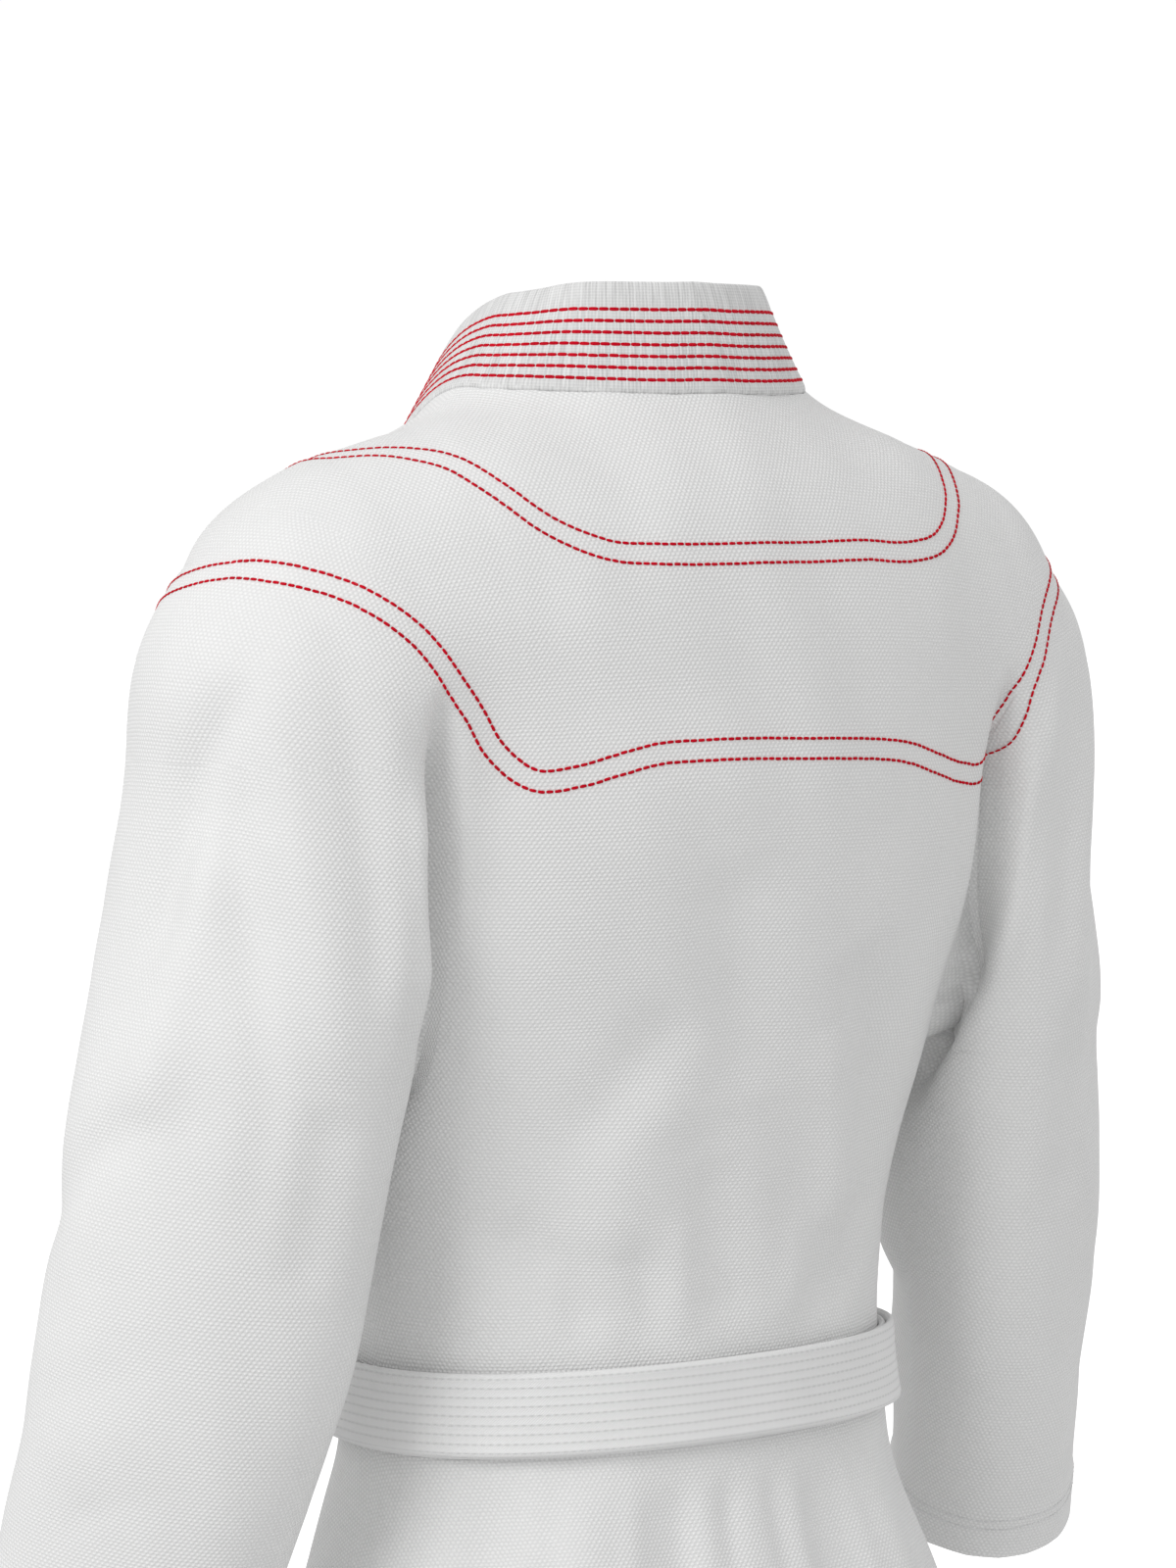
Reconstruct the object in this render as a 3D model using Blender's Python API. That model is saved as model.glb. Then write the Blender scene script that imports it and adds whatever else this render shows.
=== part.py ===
"""A white jiu-jitsu gi jacket with its belt, hollow and as worn.

Metres. +Z is up, the front looks along -Y, the wearer's left is +X.
The origin is on the wearer's axis at the base of the neck.
"""
import bpy
import numpy as np

CLOTH = 0.002
BAND_THICK = 0.004
SEAM = 0.00017
LAP = 0.0046

COLS_NECK, COLS_SIDE = 5, 5
COLS_FRONT = 14
COLS_SLEEVE = 10
ROWS_UP, ROWS_MID, ROWS_LOW, ROWS_ARM = 9, 7, 15, 13
# height, half width, centre y, depth behind, depth in front
TORSO = np.array([
    (-0.02, 0.165, 0.005, 0.085, 0.075),
    (-0.08, 0.180, 0.000, 0.104, 0.095),
    (-0.13, 0.190, -0.008, 0.124, 0.108),
    (-0.18, 0.196, -0.012, 0.134, 0.118),
    (-0.24, 0.194, -0.014, 0.131, 0.122),
    (-0.30, 0.176, -0.016, 0.121, 0.118),
    (-0.36, 0.157, -0.016, 0.108, 0.108),
    (-0.42, 0.141, -0.016, 0.098, 0.098),
    (-0.47, 0.135, -0.014, 0.094, 0.094),
    (-0.52, 0.143, -0.010, 0.103, 0.096),
    (-0.60, 0.172, -0.004, 0.126, 0.108),
    (-0.74, 0.198, 0.000, 0.142, 0.122),
])
TORSO_POWER = 2.25
TORSO_TOP = (-0.055, 0.07)
# height, half width, centre y, depth behind, depth in front
NECK = np.array([
    (-0.10, 0.120, -0.005, 0.085, 0.085),
    (-0.05, 0.108, -0.008, 0.080, 0.080),
    (0.00, 0.090, -0.012, 0.073, 0.078),
    (0.03, 0.077, -0.016, 0.069, 0.076),
    (0.07, 0.066, -0.022, 0.066, 0.074),
])
# height, centre x, centre y, half long, half short, turn of the long axis
ARM = np.array([
    (-0.08, 0.183, 0.000, 0.066, 0.052, 0.0),
    (-0.13, 0.196, 0.001, 0.076, 0.056, 2.0),
    (-0.18, 0.205, 0.003, 0.082, 0.057, 10.0),
    (-0.24, 0.213, 0.007, 0.083, 0.055, 24.0),
    (-0.30, 0.225, 0.010, 0.081, 0.053, 36.0),
    (-0.36, 0.234, 0.006, 0.078, 0.050, 44.0),
    (-0.44, 0.244, -0.006, 0.077, 0.048, 46.0),
    (-0.52, 0.254, -0.026, 0.072, 0.048, 42.0),
    (-0.60, 0.264, -0.050, 0.066, 0.048, 36.0),
])
ARM_POWER = 2.1
ARM_TOP = (-0.085, 0.08)
# x, y, z, radius
SHOULDER = np.array([
    (0.00, 0.018, -0.085, 0.080),
    (0.10, 0.010, -0.090, 0.078),
    (0.165, 0.002, -0.102, 0.069),
    (0.190, 0.000, -0.124, 0.060),
])


def read(table, at):
    """The table's columns after the first, on a smooth curve through its rows."""
    order = np.argsort(table[:, 0])
    x, y = table[order, 0], table[order, 1:]
    slope = np.gradient(y, x, axis=0)
    at = np.clip(at, x[0], x[-1])
    i = np.clip(np.searchsorted(x, at) - 1, 0, len(x) - 2)
    h = x[i + 1] - x[i]
    t = (at - x[i]) / h
    t, h = t[..., None], h[..., None]
    return (
        (2 * t**3 - 3 * t**2 + 1) * y[i]
        + (t**3 - 2 * t**2 + t) * h * slope[i]
        + (3 * t**2 - 2 * t**3) * y[i + 1]
        + (t**3 - t**2) * h * slope[i + 1]
    )


def smooth_min(a, b, k):
    h = np.clip(0.5 + 0.5 * (b - a) / k, 0, 1)
    return b * (1 - h) + a * h - k * h * (1 - h)


def ring_gap(dx, dy, wide, deep, power):
    """How far a point lies outside an oval section, measured along its radius."""
    r = np.hypot(dx, dy) + 1e-9
    q = ((np.abs(dx) / wide) ** power + (np.abs(dy) / deep) ** power) ** (1 / power) + 1e-9
    return r * (1 - 1 / q)


def torso(p):
    wide, cy, behind, before = np.moveaxis(read(TORSO, p[..., 2]), -1, 0)
    dy = p[..., 1] - cy
    gap = ring_gap(p[..., 0], dy, wide, np.where(dy > 0, behind, before), TORSO_POWER)
    return -smooth_min(-gap, -(p[..., 2] - TORSO_TOP[0]), TORSO_TOP[1])


def neck(p):
    wide, cy, behind, before = np.moveaxis(read(NECK, p[..., 2]), -1, 0)
    dy = p[..., 1] - cy
    return ring_gap(p[..., 0], dy, wide, np.where(dy > 0, behind, before), 2.0)


def arm(p):
    cx, cy, long, short, turn = np.moveaxis(read(ARM, p[..., 2]), -1, 0)
    dx, dy = np.abs(p[..., 0]) - cx, p[..., 1] - cy
    c, s = np.cos(np.radians(turn)), np.sin(np.radians(turn))
    gap = ring_gap(c * dx + s * dy, c * dy - s * dx, short, long, ARM_POWER)
    return -smooth_min(-gap, -(p[..., 2] - ARM_TOP[0]), ARM_TOP[1])


def shoulder(p):
    q = p.copy()
    q[..., 0] = np.abs(q[..., 0])
    best = None
    for a, b in zip(SHOULDER[:-1], SHOULDER[1:]):
        d = b[:3] - a[:3]
        t = np.clip(((q - a[:3]) @ d) / (d @ d), 0, 1)
        gap = np.linalg.norm(q - a[:3] - t[..., None] * d, axis=-1) - (a[3] + t * (b[3] - a[3]))
        best = gap if best is None else np.minimum(best, gap)
    return best


def body(p):
    trunk = smooth_min(torso(p), shoulder(p), 0.06)
    return smooth_min(trunk, neck(p), 0.045)


def join_radius(z):
    t = np.clip((z + 0.33) / 0.23, 0, 1)
    return 0.010 + 0.050 * t * t * (3 - 2 * t)


def field(p):
    return smooth_min(body(p), arm(p), join_radius(p[..., 2]))


def gradient(p, f=field, h=5e-4):
    g = np.empty(p.shape)
    for k in range(3):
        step = np.zeros(3)
        step[k] = h
        g[..., k] = (f(p + step) - f(p - step)) / (2 * h)
    return g


def settle(p, f=field, rounds=6):
    """The points moved onto the cloth's surface, and its outward normals there."""
    p = np.array(p, float)
    for _ in range(rounds):
        g = gradient(p, f)
        p = p - f(p)[..., None] * g / np.maximum((g * g).sum(-1), 1e-6)[..., None]
    g = gradient(p, f)
    return p, g / np.linalg.norm(g, axis=-1, keepdims=True)


def shoot(start, direction, f=field, reach=0.36, steps=90):
    """Where each ray first leaves the cloth's hollow."""
    start, direction = np.broadcast_arrays(np.asarray(start, float), np.asarray(direction, float))
    direction = direction / np.linalg.norm(direction, axis=-1, keepdims=True)
    at = np.linspace(0, reach, steps)
    v = f(start[..., None, :] + at[:, None] * direction[..., None, :])
    out = v > 0
    first = np.where(out.any(-1), out.argmax(-1), steps - 1)
    low, high = at[np.maximum(first - 1, 0)], at[first]
    for _ in range(24):
        mid = (low + high) / 2
        inside = f(start + mid[..., None] * direction) <= 0
        low, high = np.where(inside, mid, low), np.where(inside, high, mid)
    return start + ((low + high) / 2)[..., None] * direction


SHELF = -0.17
MIDDLE = -0.004


def trunk_field(p):
    """The jacket's body, with the sleeves let go below the underarm."""
    away = 1.5 * np.maximum(0, -0.345 - p[..., 2])
    return smooth_min(body(p), arm(p) + away, join_radius(p[..., 2]))


def sleeve_field(p):
    away = 1.5 * np.maximum(0, -0.345 - p[..., 2])
    return smooth_min(body(p) + away, arm(p), join_radius(p[..., 2]))


def find_underarm():
    """The lowest point of the armhole, where sleeve and side part."""
    z = np.linspace(-0.38, -0.24, 57)
    y = np.linspace(-0.06, 0.06, 49)
    x = np.linspace(0.13, 0.21, 65)
    zz, yy, xx = np.meshgrid(z, y, x, indexing="ij")
    ridge = field(np.stack([xx, yy, zz], -1)).max(-1)
    low = ridge.min(1)
    k = np.where(low < 0)[0][0]
    t = low[k - 1] / (low[k - 1] - low[k])
    height = z[k - 1] + t * (z[k] - z[k - 1])
    at_y = y[ridge[k].argmin()]
    line = np.stack([x, np.full_like(x, at_y), np.full_like(x, height)], -1)
    return np.array([x[field(line).argmax()], at_y, height])


UNDERARM = find_underarm()
HEM = -0.74
VENT = -0.60
CUFF = -0.585
NECK_SIDE = 0.097

# angle from straight back over the shoulder to straight front, half width at the armhole
ARMHOLE = np.array([
    (0, 0.168),
    (30, 0.180),
    (60, 0.204),
    (90, 0.219),
    (120, 0.204),
    (150, 0.178),
    (180, 0.168),
])
# angle over the shoulder, half width at the collar band's sewn edge
LAPEL_TOP = np.array([
    (90, 0.097),
    (110, 0.101),
    (135, 0.103),
    (160, 0.093),
    (180, 0.078),
])
# height, x of the collar band's sewn edge
LAPEL = np.array([
    (-0.17, 0.078),
    (-0.20, 0.066),
    (-0.30, 0.029),
    (-0.40, -0.006),
    (-0.47, -0.029),
    (-0.60, -0.047),
    (-0.74, -0.062),
])


def eye(v):
    return v / np.maximum(np.linalg.norm(v, axis=-1, keepdims=True), 1e-12)


def armhole_x(z):
    """Half width of the armhole seam between the shelf and the underarm."""
    t = np.clip((z - UNDERARM[2]) / (SHELF - UNDERARM[2]), 0, 1)
    return UNDERARM[0] + (ARMHOLE[0, 1] - UNDERARM[0]) * t * t * (3 - 2 * t)


def armhole_y(z):
    t = np.clip((z - UNDERARM[2]) / (SHELF - UNDERARM[2]), 0, 1)
    return UNDERARM[1] + (MIDDLE - UNDERARM[1]) * t


def armhole_point(z, side):
    """The seam point behind (side 1) or in front (side -1), by height."""
    z = np.asarray(z, float)
    start = np.stack([armhole_x(z), armhole_y(z), z], -1)
    hit = shoot(start, np.array([0.0, side, 0.0]))
    hit[z <= UNDERARM[2] + 1e-9] = UNDERARM
    return hit


def side_point(z):
    """The side seam, from the underarm to the hem."""
    z = np.asarray(z, float)
    cy = read(TORSO, z)[..., 1]
    t = np.clip((UNDERARM[2] - z) / 0.07, 0, 1)[..., None]
    start = np.stack([0 * z, cy, z], -1)
    aim = eye(UNDERARM - np.array([0, read(TORSO, UNDERARM[2])[1], UNDERARM[2]]))
    way = eye(aim * (1 - t * t * (3 - 2 * t)) + np.array([1.0, 0, 0]) * t * t * (3 - 2 * t))
    hit = shoot(start, way, trunk_field)
    hit[z >= UNDERARM[2] - 1e-9] = UNDERARM
    return hit


def heights(rows_mid, rows_low):
    """Row heights from the shelf to the underarm and on to the hem."""
    t = np.linspace(1, 0, rows_mid + 1)
    mid = UNDERARM[2] + (SHELF - UNDERARM[2]) * t**2
    low = np.linspace(UNDERARM[2], HEM, rows_low + 1)[1:]
    return mid, low


def neck_behind(s):
    """Half width and angle of the neck seam behind, from centre back to the side."""
    a = np.pi / 2 * s
    return NECK_SIDE * np.sin(a), 67 + 23 * (1 - np.cos(a))


def back_grid(cols_neck, cols_side, rows_up, rows_mid, rows_low):
    """Points of the back by row, from shoulder to hem, left seam to right seam."""
    s = np.linspace(0, 1, cols_neck + 1)
    neck_x, neck_turn = neck_behind(s)
    out = np.linspace(0, 1, cols_side + 1)[1:]
    top_x = np.r_[neck_x, NECK_SIDE + (ARMHOLE[3, 1] - NECK_SIDE) * out]
    top_turn = np.r_[neck_turn, np.full(cols_side, 90.0)]
    half = len(top_x)
    even = np.arange(half) / (half - 1)
    rows = []
    for v in np.linspace(1, 0, rows_up + 1):
        turn = np.radians(v * top_turn)
        edge = read(ARMHOLE, np.array(v * 90.0))[0]
        x = edge * ((1 - v) * even + v * top_x / ARMHOLE[3, 1])
        start = np.stack([x, np.full(half, MIDDLE), np.full(half, SHELF)], -1)
        way = np.stack([0 * x, np.cos(turn), np.sin(turn)], -1)
        rows.append(shoot(start, way))
    mid, low = heights(rows_mid, rows_low)
    for z in mid[1:]:
        t = (z - UNDERARM[2]) / (SHELF - UNDERARM[2])
        goal = armhole_point(np.array([z]), 1)[0]
        y0 = t * MIDDLE + (1 - t) * read(TORSO, np.array(z))[1]
        x = even * t * armhole_x(z)
        last = np.arctan2(goal[0] - x[-1], goal[1] - y0)
        plain = (1 - t) * np.arctan2(UNDERARM[0], UNDERARM[1] - read(TORSO, UNDERARM[2])[1])
        turn = even * plain + even**5 * (last - plain)
        start = np.stack([x, np.full(half, y0), np.full(half, z)], -1)
        hit = shoot(start, np.stack([np.sin(turn), np.cos(turn), 0 * x], -1))
        hit[-1] = goal
        rows.append(hit)
    for z in low:
        goal = side_point(np.array([z]))[0]
        y0 = read(TORSO, np.array(z))[1]
        turn = even * np.arctan2(goal[0], goal[1] - y0)
        start = np.stack([0 * even, np.full(half, y0), np.full(half, z)], -1)
        hit = shoot(start, np.stack([np.sin(turn), np.cos(turn), 0 * even], -1), trunk_field)
        hit[-1] = goal
        rows.append(hit)
    g = np.array(rows)
    flip = g[:, :0:-1] * np.array([-1.0, 1, 1])
    return np.concatenate([flip, g], 1)


def front_grid(cols, rows_up, rows_mid, rows_low):
    """Points of the wearer's left front by row, from lapel to side."""
    even = np.linspace(0, 1, cols + 1)
    rows = []
    for v in np.linspace(1, 0, rows_up + 1):
        deg = 180 - 90 * v
        turn = np.radians(deg)
        near = read(LAPEL_TOP, np.array(deg))[0]
        far = read(ARMHOLE, np.array(deg))[0]
        x = near + (far - near) * even
        start = np.stack([x, np.full(cols + 1, MIDDLE), np.full(cols + 1, SHELF)], -1)
        rows.append(shoot(start, np.array([0, np.cos(turn), np.sin(turn)])))
    mid, low = heights(rows_mid, rows_low)
    for z in mid[1:]:
        t = (z - UNDERARM[2]) / (SHELF - UNDERARM[2])
        goal = armhole_point(np.array([z]), -1)[0]
        y0 = t * MIDDLE + (1 - t) * read(TORSO, np.array(z))[1]
        near = read(LAPEL, np.array(z))[0]
        x = near + even * t * (armhole_x(z) - near)
        last = np.arctan2(goal[0] - x[-1], y0 - goal[1])
        lap = read(LAPEL, UNDERARM[2])[0]
        plain = (1 - t) * np.arctan2(UNDERARM[0] - lap, read(TORSO, UNDERARM[2])[1] - UNDERARM[1])
        turn = even * plain + even**5 * (last - plain)
        start = np.stack([x, np.full(cols + 1, y0), np.full(cols + 1, z)], -1)
        hit = shoot(start, np.stack([np.sin(turn), -np.cos(turn), 0 * x], -1))
        hit[-1] = goal
        rows.append(hit)
    for z in low:
        goal = side_point(np.array([z]))[0]
        y0 = read(TORSO, np.array(z))[1]
        near = read(LAPEL, np.array(z))[0]
        turn = even * np.arctan2(goal[0] - near, y0 - goal[1])
        start = np.stack([near + 0 * even, np.full(cols + 1, y0), np.full(cols + 1, z)], -1)
        hit = shoot(start, np.stack([np.sin(turn), -np.cos(turn), 0 * even], -1), trunk_field)
        hit[-1] = goal
        rows.append(hit)
    return np.array(rows)


def cap_centre():
    return np.array([0.195, MIDDLE, SHELF])


def sleeve_grid(cols, rows_cap, rows_mid, rows_low):
    """The left sleeve: the cap as a fan about the shoulder point, then the tube."""
    a = cap_centre()
    half = np.linspace(0, 1, cols + 1)
    mid, _ = heights(rows_mid, 1)
    # the cap, from straight back over the top to straight front
    cap = []
    for deg in np.linspace(0, 180, rows_cap + 1):
        turn = np.radians(deg)
        up = np.array([0, np.cos(turn), np.sin(turn)])
        seam_x = read(ARMHOLE, np.array(deg))[0]
        seam = shoot(np.array([[seam_x, MIDDLE, SHELF]]), up)[0]
        lean = np.arctan2(seam[0] - a[0], (seam - a) @ up)
        lam = lean + (np.pi / 2 - lean) * half
        way = np.cos(lam)[:, None] * up + np.sin(lam)[:, None] * np.array([1.0, 0, 0])
        hit = shoot(a, way)
        hit[0] = seam
        cap.append(hit)
    cap = np.array(cap)
    tube = []
    for z in mid:
        tube.append(sleeve_row(z, half, open_row=True))
    low = np.linspace(UNDERARM[2], CUFF, rows_low + 1)[1:]
    for z in low:
        tube.append(sleeve_row(z, half, open_row=False))
    cap[:, -1] = cap[0, -1]
    tube = np.array(tube)
    tube[0, : cols + 1] = cap[0]
    tube[0, cols:] = cap[-1, ::-1]
    return cap, tube


def sleeve_row(z, half, open_row):
    cx, cy = read(ARM, np.array(z))[:2]
    a = cap_centre()
    t = np.clip((z - UNDERARM[2]) / (SHELF - UNDERARM[2]), 0, 1)
    a = np.array([a[0] * t + cx * (1 - t), a[1] * t + cy * (1 - t), z])
    if open_row and z > UNDERARM[2] + 1e-9:
        behind = armhole_point(np.array([z]), 1)[0]
        before = armhole_point(np.array([z]), -1)[0]
        start = np.arctan2(behind[0] - a[0], behind[1] - a[1])
        end = np.arctan2(before[0] - a[0], before[1] - a[1]) % (2 * np.pi)
        low = read(ARM, np.array(UNDERARM[2]))[:2]
        first = np.arctan2(UNDERARM[0] - low[0], UNDERARM[1] - low[1])
        top = armhole_point(np.array([SHELF]), 1)[0] - cap_centre()
        front = armhole_point(np.array([SHELF]), -1)[0] - cap_centre()
        plain = t * np.arctan2(top[0], top[1]) + (1 - t) * first
        close = t * (np.arctan2(front[0], front[1]) % (2 * np.pi)) + (1 - t) * (first + 2 * np.pi)
        bend, ending = (1 - half) ** 5 * (start - plain), half**5 * (end - close)
        start, end = plain, close
    else:
        bend, ending = 0 * half, 0 * half
        k = np.clip((UNDERARM[2] - z) / 0.08, 0, 1)
        first = np.arctan2(UNDERARM[0] - a[0], UNDERARM[1] - a[1])
        start = first * (1 - k) - np.pi / 2 * k
        end = start + 2 * np.pi
    outward = start + (np.pi / 2 - start) * half + bend
    inward = np.pi / 2 + (end - np.pi / 2) * half + ending
    turn = np.r_[outward, inward[1:]]
    step = 0.004
    up = read(ARM, np.array(min(z + step, -0.08)))[:2]
    down = read(ARM, np.array(max(z - step, -0.60)))[:2]
    lean = (up - down) / (2 * step)
    tilt = np.clip((-0.36 - z) / 0.16, 0, 1)
    drop = -tilt * (lean[0] * np.sin(turn) + lean[1] * np.cos(turn))
    hit = shoot(a, np.stack([np.sin(turn), np.cos(turn), drop], -1), sleeve_field)
    if open_row and z > UNDERARM[2] + 1e-9:
        hit[0], hit[-1] = behind, before
    elif open_row:
        hit[0] = hit[-1] = UNDERARM
    else:
        hit[-1] = hit[0]
    return hit


# angle over the shoulder, lean of the standing band in x, y and z
STAND = np.array([
    (60, 0.00, -0.25, 0.97),
    (70, -0.15, -0.25, 0.96),
    (80, -0.45, -0.20, 0.87),
    (90, -0.56, -0.15, 0.81),
    (102, -0.60, -0.22, 0.77),
    (120, -0.72, -0.36, 0.58),
    (150, -0.85, -0.40, 0.30),
    (180, -0.95, -0.30, 0.00),
])
BAND = 0.056
LIE = (104.0, 160.0)


def smooth(t):
    t = np.clip(t, 0, 1)
    return t * t * (3 - 2 * t)


def band_grid(edge, turn, across):
    """Points of the left half of the collar band from its sewn edge's points."""
    along = eye(np.gradient(edge, axis=0))
    lift = gradient(edge, trunk_field)
    lift = eye(lift)
    flat = eye(np.cross(along, lift))
    flat = flat * -np.sign((flat * np.array([1.0, 0, 0])).sum(-1, keepdims=True) + 1e-9)
    stand = eye(read(STAND, turn))
    lie = smooth((turn - LIE[0]) / (LIE[1] - LIE[0]))[:, None]
    way = eye(stand * (1 - lie) + flat * lie)
    w = np.linspace(0, 1, across + 1)
    points = edge[:, None] + BAND * w[None, :, None] * way[:, None]
    down, _ = settle(points, trunk_field, 4)
    k = (lie * lie)[:, None] * np.ones_like(points)
    k[:, 0] = 1
    points = points * (1 - k) + down * k
    points[:, 0] = edge
    return points


def free_edge(edge, turn):
    """x of the band's free edge by height, where it lies on the chest."""
    far = band_grid(edge, turn, 4)[:, -1]
    keep = turn >= 150
    order = np.argsort(far[keep][:, 2])
    return far[keep][order][:, [2, 0]]


def over(p, rim):
    """How far the left front is lifted over the right one: 0 or 1, with a slope."""
    x = -np.interp(p[..., 2], rim[:, 0], rim[:, 1])
    up = smooth((SHELF - 0.005 - p[..., 2]) / 0.02)
    return smooth((x + 0.055 - p[..., 0]) / 0.025) * up * (p[..., 1] < 0)


def quads(grid):
    """Vertices and faces of one grid of points."""
    r, c = grid.shape[:2]
    at = np.arange(r * c).reshape(r, c)
    faces = np.stack([at[:-1, :-1], at[:-1, 1:], at[1:, 1:], at[1:, :-1]], -1).reshape(-1, 4)
    return grid.reshape(-1, 3), faces


def join(grids):
    """Several grids as one mesh, with the points they share made one."""
    points, faces, base = [], [], 0
    for g in grids:
        p, f = quads(g)
        points.append(p)
        faces.append(f + base)
        base += len(p)
    points = np.concatenate(points)
    faces = np.concatenate(faces)
    _, first, back = np.unique(np.round(points, 7), axis=0, return_index=True, return_inverse=True)
    return points[first], [tidy(f) for f in back.reshape(-1)[faces]], back.reshape(-1), faces


def tidy(face):
    """A face with no corner named twice running."""
    out = [int(v) for k, v in enumerate(face) if v != face[k - 1]]
    return out


def turn_out(points, faces, normals):
    """The faces wound so that they look along the normals."""
    votes = 0
    for f in faces[:: max(1, len(faces) // 50)]:
        n = np.cross(points[f[1]] - points[f[0]], points[f[2]] - points[f[0]])
        votes += np.sign(n @ normals[f[0]])
    return faces if votes > 0 else [f[::-1] for f in faces]


def rim(faces):
    """The mesh's border as directed edges, its face on the left."""
    once = {}
    for f in faces:
        for a, b in zip(f, f[1:] + f[:1]):
            if (b, a) in once:
                del once[(b, a)]
            else:
                once[(a, b)] = True
    return list(once)


def draw_in(points, normals, faces, amount):
    """The border moved inward along the cloth by the amount at each point."""
    ahead = {}
    behind = {}
    for a, b in rim(faces):
        ahead[a] = b
        behind[b] = a
    moved = points.copy()
    by = amount(points)
    for v in ahead:
        if v not in behind:
            continue
        one = eye(points[ahead[v]] - points[v])
        two = eye(points[v] - points[behind[v]])
        left = eye(np.cross(normals[v], eye(one + two)))
        moved[v] = points[v] + left * by[v] / max(0.6, float(eye(one + two) @ one))
    return moved


def split(points, faces):
    """Every four-sided face cut in two along its shorter diagonal."""
    out = []
    for f in faces:
        if len(f) < 4:
            out.append(list(f))
            continue
        a, b, c, d = f
        if np.linalg.norm(points[a] - points[c]) <= np.linalg.norm(points[b] - points[d]):
            out += [[a, b, c], [a, c, d]]
        else:
            out += [[a, b, d], [b, c, d]]
    return out


def wall(points, faces, normals, out, thick):
    """A closed cloth wall: outer face, inner face and the rim between them."""
    n = len(points)
    faces = split(points, faces)
    outer = points + normals * np.reshape(out, (-1, 1))
    inner = outer - normals * np.reshape(thick, (-1, 1))
    whole = [list(f) for f in faces] + [[v + n for v in f[::-1]] for f in faces]
    order = points @ np.array([0.21, 0.37, 1.0])
    for a, b in rim(faces):
        if order[a] < order[b]:
            whole += [[b, a, b + n], [a, a + n, b + n]]
        else:
            whole += [[b, a, a + n], [b, a + n, b + n]]
    return np.concatenate([outer, inner]), whole


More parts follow.
